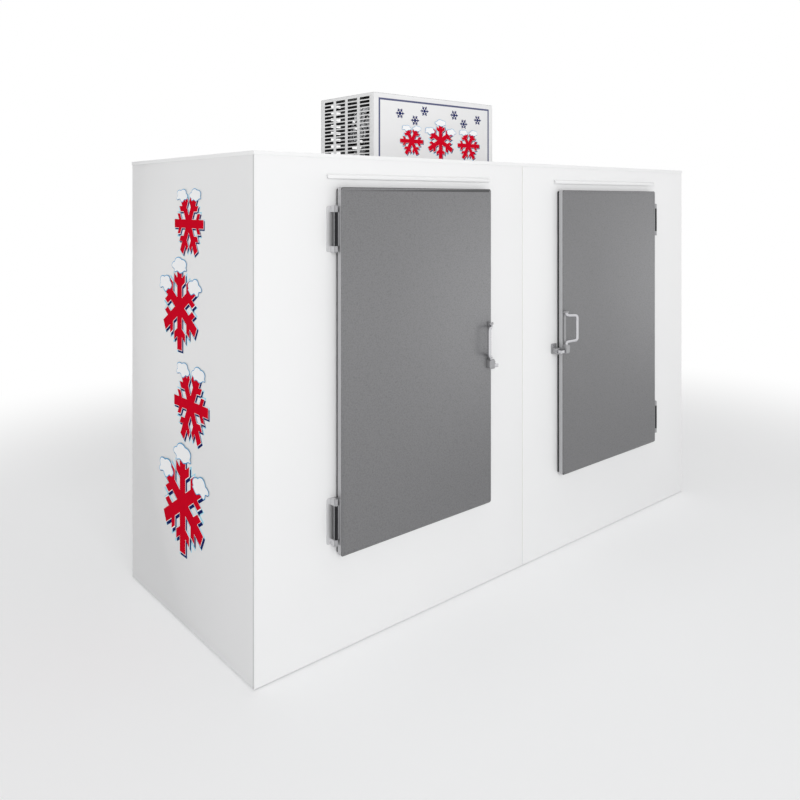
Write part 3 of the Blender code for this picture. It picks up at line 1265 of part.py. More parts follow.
def build_condenser_fan():
    """The condenser fan and its motor on a foot."""
    centre = (SHROUD_X - ORIFICE_LIP / 2, UNIT_MIDDLE, FAN_HEIGHT)
    empty = joint_empty("condenser_fan_axis", centre)
    shaft = MOTOR_SHAFT_RADIUS + MOTOR_SHAFT_CLEARANCE
    mesh = fan_mesh("condenser_fan", centre, "X", FAN_HUB_RADIUS, FAN_HUB_LENGTH,
                    ORIFICE_RADIUS - FAN_TIP_GAP, shaft)
    carry(add_object("condenser_fan", mesh, aluminium, smooth=True), empty)
    start = FAN_HUB_LENGTH / 2 + MOTOR_GAP
    end = start + MOTOR_LENGTH
    profile = [(0, -FAN_HUB_LENGTH / 2), (MOTOR_SHAFT_RADIUS, -FAN_HUB_LENGTH / 2),
               (MOTOR_SHAFT_RADIUS, start), (MOTOR_RADIUS * MOTOR_NOSE_SHARE, start),
               (MOTOR_RADIUS, start + MOTOR_GAP / 2), (MOTOR_RADIUS, end - MOTOR_GAP),
               (MOTOR_RADIUS * MOTOR_TAIL_SHARE, end), (0, end)]
    motor = turned_mesh("condenser_motor", profile, centre, "X")
    foot_x0, foot_x1 = (centre[0] + start + MOTOR_LENGTH * share for share in MOTOR_POST_SHARES)
    floor = UNIT_FLOOR + FIT_GAP
    post = block_mesh("post", (foot_x0, UNIT_MIDDLE - MOTOR_FOOT, floor),
                      (foot_x1, UNIT_MIDDLE + MOTOR_FOOT, FAN_HEIGHT - MOTOR_RADIUS / 2))
    sole = block_mesh("sole", (foot_x0 - MOTOR_FOOT, UNIT_MIDDLE - MOTOR_RADIUS, floor),
                      (foot_x1 + MOTOR_FOOT, UNIT_MIDDLE + MOTOR_RADIUS, floor + MOTOR_SOLE))
    add_object("condenser_motor", join(motor, [post, sole]), black_enamel, smooth=True)
    return end


def fin_block(name, low, high, fins, along):
    """A coil block with fins cut in its two open faces; fins repeat along X or Y."""
    first = 0 if along == "X" else 1
    other = 1 - first
    start = low[first]
    pitch = (high[first] - low[first]) / fins
    fin = pitch * COIL_FIN_SHEET_SHARE
    edge_a = []
    edge_b = []
    for index in range(fins):
        left = start + index * pitch
        right = left + fin
        edge_a += [(left, low[other]), (right, low[other])]
        edge_b += [(left, high[other]), (right, high[other])]
        if index < fins - 1:
            root_a = low[other] + COIL_FIN_DEPTH
            root_b = high[other] - COIL_FIN_DEPTH
            edge_a += [(right, root_a), (left + pitch, root_a)]
            edge_b += [(right, root_b), (left + pitch, root_b)]
    outline = edge_a + edge_b[::-1]
    if along == "Y":
        outline = [(across, run) for run, across in outline]
    return extrude_mesh(name, outline, "Z", low[2], high[2])


def build_condenser_coil(motor_end):
    """The finned condenser behind the fan motor."""
    x0 = SHROUD_X + SHROUD_SHEET + motor_end + COIL_GAP
    y0 = UNIT_FRONT + COIL_INSET
    y1 = UNIT_BACK - COIL_INSET
    z0 = UNIT_FLOOR + FIT_GAP
    mesh = fin_block("condenser_coil", (x0, y0, z0), (x0 + COIL_THICKNESS, y1, SHROUD_TOP - COIL_GAP),
                     COIL_FINS, "Y")
    add_object("condenser_coil", mesh, aluminium)


def build_compressor():
    """The welded compressor dome on its foot plate."""
    centre = (COMPRESSOR_PLACE_X, UNIT_MIDDLE, UNIT_FLOOR + FIT_GAP)
    dome = COMPRESSOR_HEIGHT - COMPRESSOR_FOOT
    radius = COMPRESSOR_RADIUS
    profile = [(radius * out, dome * up) for out, up in COMPRESSOR_PROFILE_SHARES]
    shell = turned_mesh("compressor", [(0, 0)] + profile + [(0, dome)],
                        (centre[0], centre[1], centre[2] + COMPRESSOR_FOOT / 2), "Z")
    outline = plate_outline(centre[0] - radius, centre[0] + radius, centre[1] - radius, centre[1] + radius,
                            radius * COMPRESSOR_CORNER_SHARE)
    foot = extrude_mesh("foot", outline, "Z", centre[2], centre[2] + COMPRESSOR_FOOT)
    add_object("compressor", join(foot, [shell]), black_enamel, smooth=True)


def build_electrics():
    """The control box at the housing's front right corner, and the inlet gland in the back grille."""
    z0 = UNIT_FLOOR + FIT_GAP
    x1 = UNIT_HALF - INSIDE_RIM
    y0 = UNIT_FRONT + INSIDE_RIM
    low = (x1 - BOX_WIDTH, y0, z0)
    high = (x1, y0 + BOX_DEPTH, z0 + BOX_HEIGHT)
    add_object("control_box", block_mesh("control_box", low, high), galvanised)
    place = (UNIT_HALF - GLAND_INSET, UNIT_BACK, UNIT_BOTTOM + GLAND_RISE)
    neck = GLAND_NECK_RADIUS
    flange = GLAND_RADIUS
    inside = -UNIT_SHEET - GLAND_FLANGE
    profile = [(GLAND_BORE_RADIUS, inside), (flange, inside), (flange, -UNIT_SHEET - FIT_GAP),
               (neck, -UNIT_SHEET - FIT_GAP), (neck, FIT_GAP), (flange, FIT_GAP), (flange, GLAND_FLANGE),
               (neck, GLAND_LENGTH), (GLAND_BORE_RADIUS, GLAND_LENGTH)]
    gland = turned_mesh("inlet_gland", profile, place, "Y", looped=True)
    add_object("inlet_gland", gland, black_plastic, smooth=True)


def build_lines():
    """Two refrigerant lines from the condensing unit down through the roof to the evaporator."""
    top = UNIT_FLOOR + LINE_RISE
    bottom = EVAPORATOR_TOP - EVAPORATOR_SHEET
    pipes = []
    for offset in (-LINE_SPACING / 2, LINE_SPACING / 2):
        x = LINE_PORT_X + offset
        corners = [(x, LINE_PORT_Y, bottom), (x, LINE_PORT_Y, top), (x, LINE_PORT_Y - LINE_RISE, top)]
        pipes.append(tube_mesh("pipe", tube_path(corners, LINE_BEND_RADIUS), LINE_RADIUS))
    reach = LINE_SPACING / 2 + LINE_RADIUS + CLIP_SHEET
    y0 = LINE_PORT_Y - LINE_RISE + CLIP_SHEET
    clip = block_mesh("clip", (LINE_PORT_X - reach, y0, top - CLIP_SHEET),
                      (LINE_PORT_X + reach, y0 + CLIP_WIDTH, top + CLIP_SHEET))
    add_object("refrigerant_lines", join(pipes[0], [pipes[1], clip]), copper, smooth=True)


def build_evaporator():
    """The evaporator under the ceiling: housing, coil, fan with its motor, and drain tray."""
    half = EVAPORATOR_WIDTH / 2
    sheet = EVAPORATOR_SHEET
    shell = block_mesh("evaporator_housing", (-half, EVAPORATOR_FRONT, EVAPORATOR_BOTTOM),
                       (half, EVAPORATOR_BACK, EVAPORATOR_TOP))
    room = block_mesh("room", (-half + sheet, EVAPORATOR_FRONT + sheet, EVAPORATOR_BOTTOM + sheet),
                      (half - sheet, EVAPORATOR_BACK + CUT_OVERRUN, EVAPORATOR_TOP - sheet))
    mouth = (0, EVAPORATOR_FRONT, EVAPORATOR_MIDDLE)
    orifice = cylinder_mesh("orifice", EVAPORATOR_ORIFICE_RADIUS, mouth, "Y", -CUT_OVERRUN, CUT_OVERRUN,
                            FINE_STEPS)
    mesh = cut(shell, [room, orifice] + line_ports(EVAPORATOR_TOP - sheet, EVAPORATOR_TOP))
    add_object("evaporator_housing", mesh, galvanised)
    inset = sheet + FIT_GAP
    y1 = EVAPORATOR_BACK - inset
    y0 = y1 - EVAPORATOR_COIL_THICKNESS
    low = (-half + inset, y0, EVAPORATOR_BOTTOM + inset)
    high = (half - inset, y1, EVAPORATOR_TOP - inset)
    add_object("evaporator_coil", fin_block("evaporator_coil", low, high, EVAPORATOR_FINS, "X"), aluminium)
    fan_y = EVAPORATOR_FRONT + EVAPORATOR_FAN_SET_BACK + EVAPORATOR_HUB_LENGTH / 2
    centre = (0, fan_y, EVAPORATOR_MIDDLE)
    shaft = MOTOR_SHAFT_RADIUS + MOTOR_SHAFT_CLEARANCE
    fan = fan_mesh("evaporator_fan", centre, "Y", EVAPORATOR_HUB_RADIUS, EVAPORATOR_HUB_LENGTH,
                   EVAPORATOR_ORIFICE_RADIUS - FAN_TIP_GAP, shaft)
    empty = joint_empty("evaporator_fan_axis", centre)
    carry(add_object("evaporator_fan", fan, aluminium, smooth=True), empty)
    start = EVAPORATOR_HUB_LENGTH / 2 + MOTOR_GAP
    end = start + EVAPORATOR_MOTOR_LENGTH
    radius = EVAPORATOR_MOTOR_RADIUS
    profile = [(0, -EVAPORATOR_HUB_LENGTH / 2), (MOTOR_SHAFT_RADIUS, -EVAPORATOR_HUB_LENGTH / 2),
               (MOTOR_SHAFT_RADIUS, start), (radius * MOTOR_NOSE_SHARE, start),
               (radius, start + MOTOR_GAP / 2), (radius, end), (0, end)]
    motor = turned_mesh("evaporator_motor", profile, centre, "Y")
    y_mid = centre[1] + (start + end) / 2
    post = block_mesh("post", (-MOTOR_FOOT, y_mid - MOTOR_FOOT, EVAPORATOR_BOTTOM + inset),
                      (MOTOR_FOOT, y_mid + MOTOR_FOOT, EVAPORATOR_MIDDLE - radius / 2))
    add_object("evaporator_motor", join(motor, [post]), black_enamel, smooth=True)
    build_drain_tray(half)


def build_drain_tray(half):
    """The tray that catches meltwater, with a hanger at each end and its outlet."""
    top = EVAPORATOR_BOTTOM - FIT_GAP
    bottom = top - PAN_TRAY_HEIGHT

    def ring(outwards, z):
        x = half + outwards
        y0 = EVAPORATOR_FRONT - outwards
        y1 = EVAPORATOR_BACK + outwards
        return [(-x, y0, z), (x, y0, z), (x, y1, z), (-x, y1, z)]
    lap = PAN_TRAY_LAP
    sheet = EVAPORATOR_SHEET
    rings = [ring(0, bottom), ring(lap, top), ring(lap - sheet, top), ring(-sheet, bottom + sheet)]
    tray = loft_mesh("drain_tray", rings)
    place = (half - DRAIN_INSET, EVAPORATOR_BACK - DRAIN_INSET, 0)
    bore = DRAIN_RADIUS - sheet
    end = bottom - DRAIN_LENGTH
    root = bottom + sheet / 2
    profile = [(bore, end), (DRAIN_RADIUS, end), (DRAIN_RADIUS, root), (bore, root)]
    spout = turned_mesh("spout", profile, place, "Z", ROUND_STEPS // 2, looped=True)
    hole = cylinder_mesh("hole", (bore + DRAIN_RADIUS) / 2, place, "Z", bottom - CUT_OVERRUN,
                         bottom + CUT_OVERRUN, ROUND_STEPS // 2)
    hangers = []
    y0 = EVAPORATOR_FRONT + EVAPORATOR_DEPTH / 2 - TRAY_HANGER_WIDTH / 2
    for side in (-1, 1):
        inner, outer = sorted((side * (half - lap), side * (half + lap - sheet / 2)))
        low = (inner, y0, top - sheet)
        hangers.append(block_mesh("hanger", low, (outer, y0 + TRAY_HANGER_WIDTH, top)))
    add_object("drain_tray", join(cut(tray, [hole]), [spout] + hangers), galvanised)


def build_cabinet():
    """The body of the cabinet, from the floor up."""
    build_base_frame()
    build_base_pan()
    build_outer_panels()
    build_roof_pan()
    build_insulation()
    build_front_insulation()
    build_liner()
    for side in (-1, 1):
        build_front_panel(side)
        build_door_frame(side)
        build_drip_rail(side)
        build_strike(side)
        build_door(side)


def build_condensing_unit():
    """The refrigeration on the roof and its housing."""
    build_unit_base()
    for side in (-1, 1):
        build_side_grille(side)
    build_back_grille()
    build_sign_panel()
    build_unit_lid()
    build_condenser_shroud()
    motor_end = build_condenser_fan()
    build_condenser_coil(motor_end)
    build_compressor()
    build_electrics()
    build_lines()


clear_scene()
build_cabinet()
build_condensing_unit()
build_evaporator()
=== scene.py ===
"""Looks of a two-door outdoor ice merchandiser, laid out as a Blender add-on.

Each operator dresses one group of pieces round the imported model. The main
function runs them in order and builds the studio.
"""

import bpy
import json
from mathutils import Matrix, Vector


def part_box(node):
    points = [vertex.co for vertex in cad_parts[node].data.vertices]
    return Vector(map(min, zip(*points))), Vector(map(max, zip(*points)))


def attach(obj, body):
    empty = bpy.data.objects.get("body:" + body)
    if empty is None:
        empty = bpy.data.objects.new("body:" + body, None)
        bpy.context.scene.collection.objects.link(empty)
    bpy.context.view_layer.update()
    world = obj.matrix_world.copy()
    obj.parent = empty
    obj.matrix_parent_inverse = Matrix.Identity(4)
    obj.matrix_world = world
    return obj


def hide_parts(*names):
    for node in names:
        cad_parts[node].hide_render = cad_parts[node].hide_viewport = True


bl_info = {
    "name": "Ice Merchandiser Looks",
    "version": (1, 0, 0),
    "blender": (4, 5, 0),
    "location": "3D View > Sidebar > Ice Merchandiser",
    "description": "Paint, embossed doors, plated hardware, vinyl artwork and studio",
    "category": "Object",
}

import json
import math

import bmesh
import bpy
from mathutils import Matrix, Vector

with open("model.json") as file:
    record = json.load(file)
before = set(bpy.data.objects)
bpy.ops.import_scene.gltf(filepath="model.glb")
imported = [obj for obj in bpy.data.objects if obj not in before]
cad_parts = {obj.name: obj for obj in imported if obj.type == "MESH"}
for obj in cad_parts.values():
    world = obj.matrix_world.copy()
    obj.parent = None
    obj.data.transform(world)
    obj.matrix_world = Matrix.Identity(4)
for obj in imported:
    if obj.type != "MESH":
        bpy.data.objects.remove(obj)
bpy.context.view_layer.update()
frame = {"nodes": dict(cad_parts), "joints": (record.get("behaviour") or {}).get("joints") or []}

SIDES = (("left", -1), ("right", 1))
LEVELS = ("lower", "upper")

# Turns that stand a flat piece made in the XY plane upright
FACING_FRONT = Matrix(((1, 0, 0), (0, 0, -1), (0, 1, 0))).to_4x4()
FACING_LEFT = Matrix(((0, 0, -1), (-1, 0, 0), (0, 1, 0))).to_4x4()
FACING_BACK = Matrix(((-1, 0, 0), (0, 0, 1), (0, 1, 0))).to_4x4()

# Cleaning and shading of meshes
MERGE_DISTANCE = 0.00001
FLAT_ANGLE = math.radians(0.5)
SMOOTH_ANGLE = math.radians(35)
RIGHT_ANGLE = math.radians(90)
ALONG_AXIS = 0.9  # least share of a normal that points along an axis
OFF_AXIS = 0.5  # largest share of a normal that points away from it

# Sheets: what counts as a face's skin, and how near its ends a slot is left alone
OUTER_SKIN = 0.0005
INNER_SKIN = 0.0007
SLOT_MARGIN = 0.005

# Door skins: their pressed rim, and their folded sides
RIM_BAND = 0.0118
RIM_DEPTH = 0.0015
FOLD_DEPTH = 0.0012
FOLD_INSET = 0.003
SKIN_EDGE = 0.0004
PLUG_EDGE = 0.003
GASKET_EDGE = 0.0006
SMALL_EDGE = 0.0005

# Hinges: how far round the axis each finish reaches
KNUCKLE_REACH = 0.0075
KNUCKLE_BACK = 0.004
SLEEVE_REACH = 0.0062

# Screw heads, in shares of their radius and height
SCREW_SIDES = 20
SCREW_SHOULDER = 0.28
SCREW_DOME = 0.35
SCREW_LAND = 0.30
SCREW_WALL = 0.02
SCREW_RECESS = 0.6

# Screws of the strikes, latches and housing
STRIKE_SCREW = (0.75, 0.0010)  # share of the common radius, and height
STRIKE_SCREW_LEVELS = (0.16, 0.84)
STRIKE_SCREW_SHIFT = 0.004
STRIKE_SCREW_SINK = 0.0025
LATCH_SCREW = (0.85, 0.0008)
LATCH_SCREW_RISES = (0.045, 0.128)
LATCH_SCREW_SINK = 0.002
HOUSING_SCREW = (0.0034, 0.0014)  # radius and height
HOUSING_SCREW_INSET = 0.012
HOUSING_SCREW_TOP_INSET = 0.010

# The handle's bar and its cam
BAR_SIDES = 24
BEND_STEP = math.radians(9)
CAM_SIDES = 32
CAM_RADIUS = 0.0072
CAM_HEIGHT = 0.004
CAM_DROP = 0.0005
CAM_EDGE = 0.0005

# The housing's sheets: node, axis across the sheet, and the way from its outer face inwards
SHEETS = (("unit_lid", 2, -1), ("unit_sign_panel", 1, 1), ("unit_grille_left", 0, 1),
          ("unit_grille_right", 0, -1), ("unit_back_grille", 1, -1))

# A snow crystal, in shares of its reach
ARMS = 6
ARM_TURN = math.radians(60)
ARM_WIDTH = 0.26
BRANCH_START = 0.50
BRANCH_END = 0.69
BRANCH_LENGTH = 0.175
PLACE_SLACK = 0.05  # how far off its place, as a share, a flank or branch may lie
BRANCH_SLANT = 0.3  # largest share of a branch end's normal along its arm
CRYSTAL_ROUNDING = 0.10

# Films of a crystal: name, colour, share of the outline, level, share of the shade's offset
CRYSTAL_FILMS = (("outline", "ice", 1.0, 0, 0.5), ("shade", "navy", 0.3, 1, 1.0),
                 ("rim", "frost", 0.3, 2, 0.0), ("face", "red", 0.0, 3, 0.0))
SHADE_FALL = 0.8

# Films of a frost cap: name, colour, share of the outline, level, share of the outline it sags
FROST_FILMS = (("frost_shade", "navy", 0.0, 4, 0.55), ("frost_edge", "rim", 0.52, 5, 0.0),
               ("frost", "frost", 0.0, 6, 0.0))
FROST_LAYER = 0.85
FROST_FROM = 0.3  # least rise of an arm that carries frost
FROST_SEED = 1.7
CAP_OUT = 0.92  # share of the reach where a cap sits
CAP_LIFT = 0.10  # the rest are shares of an arm's width
CAP_WIDTH = 1.02
CAP_SPREAD = 0.42
CAP_HEIGHT = 0.78

# A cap's outline: a mean, the size of its waves, and how many of them go round
CAP_SIDES = 72
CAP_SLAB = 0.001
LOBE = (0.86, 0.24, 2.5)
RIPPLE = (0.03, 4)
DRIP = (0.60, 0.18, 6)

# The artwork: across the panel, height, reach and turn in degrees of each crystal
SIDE_CRYSTALS = ((0.030, 1.400, 0.115, 0), (-0.045, 1.105, 0.150, 30), (0.045, 0.775, 0.135, 0),
                 (-0.020, 0.425, 0.175, 30))
SIDE_LAYER = 0.0003
SIGN_CRYSTALS = ((-0.150, 1.742, 0.066, 0), (0.020, 1.752, 0.082, 30),
                 (0.195, 1.738, 0.070, 0))
SIGN_LAYER = 0.0004
SMALL_CRYSTALS = ((-0.215, 1.860), (-0.130, 1.835), (-0.075, 1.880), (0.105, 1.875),
                  (0.165, 1.838), (0.255, 1.862))
SMALL_REACH = 0.1
SMALL_WIDTH = 0.021
SMALL_SCALE = 0.23
SMALL_FILM = 0.0006
SIGN_MARGIN_X = 0.050
SIGN_MARGIN_Z = 0.040
SIGN_LIFT = 0.00005
SIGN_FILM = 0.0003

# The camera fitted to the photograph
CAMERA_PLACE = (-2.3539, -2.6437, 1.4796)
CAMERA_TURN = math.radians(-42.807)
CAMERA_LENS = 35.344
CAMERA_SENSOR = 36.0
CAMERA_SHIFT = (-0.0719, -0.2491)

# Soft lights: name, place, target, size and power
LAMPS = (("key_light", (-3.2, -8.4, 3.4), (0.1, 0.0, 0.8), 4.5, 345.0),
         ("fill_light", (-8.0, 2.6, 1.5), (-1.2, 0.0, 0.5), 4.2, 60.0),
         ("top_light", (0.0, -0.6, 7.5), (0.0, 0.0, 1.0), 5.0, 120.0))
WORLD_FILL = 0.36

# The floor, which glows more with its distance until it meets the white background
FLOOR_SIZE = 60.0
FLOOR_CELLS = 8
FLOOR_TONES = ((0.95, 0.955, 0.965, 1.0), (0.92, 0.93, 0.945, 1.0))
FLOOR_ROUGHNESS = 0.9
FLOOR_SPECULAR = 0.1
FLOOR_SPECKLE = 0.3
FLOOR_SPECKLE_SCALE = 60.0
FLOOR_FADE = (1.9, 4.2)
FLOOR_GLOW = (0.35, 1.0)
WHITE = (1.0, 1.0, 1.0, 1.0)


def colour_property(name, description, value):
    """A colour that a user may change."""
    return bpy.props.FloatVectorProperty(name=name, description=description, subtype="COLOR",
                                         size=3, min=0.0, max=1.0, default=value)


def length_property(name, description, value):
    """A length that a user may change."""
    return bpy.props.FloatProperty(name=name, description=description, unit="LENGTH", min=0.0,
                                   precision=4, default=value)


def share_property(name, description, value):
    """A size that follows another one."""
    return bpy.props.FloatProperty(name=name, description=description, min=0.0, max=1.0,
                                   default=value)


class MerchandiserPaint(bpy.types.PropertyGroup):
    """Colours of the sheets, plastics and metals."""

    enamel: colour_property("Enamel", "White enamel of the outer panels", (0.862, 0.863, 0.865))
    door_steel: colour_property("Door steel", "Embossed steel of the doors", (0.225, 0.225, 0.23))
    plating: colour_property("Plating", "Bright plating of handles and bolts", (0.64, 0.64, 0.66))
    satin: colour_property("Satin plating", "Grey plating of knuckles, latch cases and strikes",
                           (0.40, 0.40, 0.41))
    # Lighter than the satin plating of the same hinges: painted light that lifts the shade on the
    # leaves
    leaf: colour_property("Leaf plating", "Pale plating of the hinge leaves", (0.66, 0.66, 0.67))
    folded_edge: colour_property("Folded edge", "Bright folded sides of the doors",
                                 (0.51, 0.51, 0.52))
    # Near black: painted shade inside the housing, also laid on the condenser coil and shroud
    inside: colour_property("Inside", "Unpainted inside of the housing", (0.035, 0.035, 0.038))
    sleeve_black: colour_property("Sleeve black", "Black hinge sleeves", (0.012, 0.012, 0.014))
    zinc: colour_property("Zinc", "Galvanised sheet", (0.56, 0.58, 0.60))
    seal: colour_property("Seal", "Door gasket", (0.035, 0.035, 0.040))
    liner_plastic: colour_property("Liner plastic", "White plastic of the door plugs",
                                   (0.78, 0.79, 0.78))
    foam: colour_property("Foam", "Insulation", (0.72, 0.62, 0.36))
    fin_metal: colour_property("Fin metal", "Aluminium fins and fan blades", (0.82, 0.83, 0.85))
    copper: colour_property("Copper", "Refrigerant pipe", (0.72, 0.32, 0.18))


class MerchandiserArtwork(bpy.types.PropertyGroup):
    """Colours and sizes of the vinyl snow crystals."""

    red: colour_property("Red", "Face of the crystals", (0.64, 0.004, 0.020))
    navy: colour_property("Navy", "Drop shade and small crystals", (0.010, 0.018, 0.120))
    ice: colour_property("Ice", "Pale outline", (0.40, 0.74, 0.90))
    frost: colour_property("Frost", "White frost on the upper arms", (0.97, 0.98, 0.99))
    rim: colour_property("Rim", "Line round the frost", (0.090, 0.40, 0.70))
    line: colour_property("Line", "Line round the sign", (0.120, 0.130, 0.230))
    outline: share_property("Outline", "Width of the outline as a share of a crystal's reach",
                            0.038)
    shade: share_property("Shade", "Offset of the drop shade as a share of a crystal's reach",
                          0.055)
    border: length_property("Border", "Width of the line round the sign", 0.0080)


class MerchandiserHardware(bpy.types.PropertyGroup):
    """Sizes of edges, screws and bars."""

    slot_growth: length_property("Slot growth", "How far a slot's rolled edges stand back",
                                 0.0014)
    # This strip is painted in a darker enamel, as painted shade along the front corner
    fold: length_property("Fold", "Width of the folded corner strip beside the front", 0.007)
    edge: length_property("Edge", "Rounding of the panel edges", 0.0006)
    plate_edge: length_property("Plate edge", "Rounding of hinge and strike edges", 0.0007)
    screw: length_property("Screw", "Common radius of the screw heads", 0.0036)
    grip: length_property("Grip", "Radius of the handle's bar", 0.0065)
    bend: length_property("Bend", "Radius of the bends of the handle's bar", 0.010)
    reach_in: length_property("Reach in", "Grip's distance from its pivot across the door", 0.036)
    reach_out: length_property("Reach out", "Grip's distance from its pivot to the front", 0.028)
    upper_arm: length_property("Upper arm", "Upper arm's height over the latch's middle", 0.1405)
    lower_arm: length_property("Lower arm", "Height of the grip's lower end over the middle",
                               0.037)
    lower_turn: length_property("Lower turn", "Height over the middle where the bar turns down",
                                0.0298)


SETTINGS = {"merchandiser_paint": MerchandiserPaint, "merchandiser_artwork": MerchandiserArtwork,
            "merchandiser_hardware": MerchandiserHardware}


def clear_selection():
    """Leave edit mode and deselect everything."""
    if bpy.context.object is not None and bpy.context.object.mode != "OBJECT":
        bpy.ops.object.mode_set(mode="OBJECT")
    bpy.ops.object.select_all(action="DESELECT")


def lone(item):
    """Make one object the only selected and active one."""
    clear_selection()
    item.hide_set(False)
    item.select_set(True)
    bpy.context.view_layer.objects.active = item


def open_edit(item, kind="FACE"):
    """Enter edit mode with nothing selected."""
    lone(item)
    bpy.ops.object.mode_set(mode="EDIT")
    bpy.ops.mesh.select_mode(type=kind)
    bpy.ops.mesh.select_all(action="DESELECT")


def close_edit():
    """Leave edit mode."""
    bpy.ops.object.mode_set(mode="OBJECT")


def pick(item, kind, test):
    """Select the faces, edges or verts of the mesh being edited that pass a test."""
    bpy.ops.mesh.select_all(action="DESELECT")
    work = bmesh.from_edit_mesh(item.data)
    work.normal_update()
    chosen = [part for part in getattr(work, kind) if test(part)]
    if not chosen:
        raise RuntimeError(f"nothing to select on {item.name}")
    for part in chosen:
        part.select_set(True)
    work.select_flush_mode()
    bmesh.update_edit_mesh(item.data)


def place_applied(item):
    """Apply the object's place, turn and scale to its mesh."""
    lone(item)
    bpy.ops.object.transform_apply(location=True, rotation=True, scale=True)


def apply_all(item):
    """Apply the object's place to its mesh, and then its modifiers."""
    place_applied(item)
    for modifier in list(item.modifiers):
        bpy.ops.object.modifier_apply(modifier=modifier.name)


def outward_normals():
    """Turn all faces of the mesh being edited outwards."""
    bpy.ops.mesh.select_all(action="SELECT")
    bpy.ops.mesh.normals_make_consistent(inside=False)


def round_edges(item, width, segments=1, angle=30):
    """Round a piece's sharp edges."""
    bevel = item.modifiers.new("rounding", "BEVEL")
    bevel.width = width
    bevel.segments = segments
    bevel.limit_method = "ANGLE"
    bevel.angle_limit = math.radians(angle)


def settle(item, name, material, body, stands_for=()):
    """Name a finished piece, give it its material, and let it ride on its body."""
    apply_all(item)
    item.name = name
    item.data.name = name
    item.data.materials.clear()
    item.data.materials.append(material)
    bpy.ops.object.shade_smooth_by_angle(angle=SMOOTH_ANGLE)
    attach(item, body)
    if stands_for:
        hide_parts(*stands_for)
    return item


def taller_slots(item, low, high, growth):
    """Draw the upper and the lower edge of every slot apart."""
    open_edit(item)
    for way in (1, -1):
        pick(item, "faces", lambda face: face.normal.z * way < -ALONG_AXIS
             and low.z + SLOT_MARGIN < face.calc_center_median().z < high.z - SLOT_MARGIN)
        bpy.ops.transform.translate(value=(0, 0, growth * way))
    close_edit()


def softened(node, material, body, width, segments=2, angle=30, slot_growth=0.0):
    """A copy of a CAD piece with merged faces and rounded edges, which stands for it."""
    source = frame["nodes"][node]
    item = source.copy()
    item.data = source.data.copy()
    item.parent = None
    item.matrix_world = Matrix.Identity(4)
    bpy.context.scene.collection.objects.link(item)
    open_edit(item)
    bpy.ops.mesh.select_all(action="SELECT")
    bpy.ops.mesh.remove_doubles(threshold=MERGE_DISTANCE)
    bpy.ops.mesh.dissolve_limited(angle_limit=FLAT_ANGLE)
    close_edit()
    bpy.ops.mesh.customdata_custom_splitnormals_clear()
    if slot_growth:
        taller_slots(item, *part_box(node), slot_growth)
    round_edges(item, width, segments, angle)
    return settle(item, node + "_dressed", material, body, (node,))


def second_finish(item, material, test):
    """Give the faces whose middle passes a test a second finish."""
    item.data.materials.append(material)
    number = len(item.data.materials) - 1
    for face in item.data.polygons:
        if test(face.center):
            face.material_index = number


def on_the_inside(place, low, high, axis, inward):
    """Whether a point of a sheet lies behind its outer face and off its side edges."""
    depth = place[axis] - low[axis] if inward > 0 else high[axis] - place[axis]
    others = [side for side in (0, 1) if side != axis]
    return depth > INNER_SKIN and all(
        low[side] + INNER_SKIN < place[side] < high[side] - INNER_SKIN for side in others)


def joint_place(name):
    """Where a joint lies at rest."""
    return next(Vector(joint["pos_m"]) for joint in frame["joints"] if joint["name"] == name)


def dress(node, material):
    """Give a CAD piece whose shape is right its material."""
    for slot in frame["nodes"][node].material_slots:
        slot.material = material


def copies_joined(item, places, name, material, body):
    """Copies of one modelled piece at two or more places, joined into one object."""
    made = []
    for place in places:
        twin = item.copy()
        twin.data = item.data.copy()
        twin.matrix_world = place
        bpy.context.scene.collection.objects.link(twin)
        made.append(twin)
    bpy.data.objects.remove(item, do_unlink=True)
    lone(made[0])
    for twin in made:
        twin.select_set(True)
        twin.data.transform(twin.matrix_world)
        twin.matrix_world = Matrix.Identity(4)
    bpy.ops.object.join()
    return settle(made[0], name, material, body)


def node(tree, kind, settings=None, inputs=None):
    """Add a shader node, set it up, and set or link its inputs."""
    made = tree.nodes.new(kind)
    for key, value in (settings or {}).items():
        setattr(made, key, value)
    for key, value in (inputs or {}).items():
        if isinstance(value, bpy.types.NodeSocket):
            tree.links.new(value, made.inputs[key])
        else:
            made.inputs[key].default_value = value
    return made


def maths(tree, operation, *values):
    """A math node's result."""
    made = node(tree, "ShaderNodeMath", {"operation": operation}, dict(enumerate(values)))
    return made.outputs[0]


def noise(tree, vector, scale, detail):
    """A noise texture's outputs."""
    return node(tree, "ShaderNodeTexNoise", None,
                {"Vector": vector, "Scale": scale, "Detail": detail}).outputs


def ramp(tree, value, start, end, first=0.0, last=1.0):
    """A value eased from first to last between a start and an end."""
    made = node(tree, "ShaderNodeMapRange", {"interpolation_type": "SMOOTHSTEP"},
                {"Value": value, "From Min": start, "From Max": end, "To Min": first,
                 "To Max": last})
    return made.outputs["Result"]


def blend_colours(tree, factor, first, second, mode="MIX"):
    """Mix two colours."""
    made = node(tree, "ShaderNodeMix", {"data_type": "RGBA", "blend_type": mode},
                {0: factor, 6: first, 7: second})
    return made.outputs[2]


def tinted(tree, amount, colour, tint):
    """Mix a colour toward itself times a tint."""
    target = blend_colours(tree, 1.0, colour, (*tint, 1.0), "MULTIPLY")
    return blend_colours(tree, amount, colour, target)


def spread(tree, value, low, high):
    """Map a value from 0..1 to low..high."""
    return maths(tree, "MULTIPLY_ADD", value, maths(tree, "SUBTRACT", high, low), low)


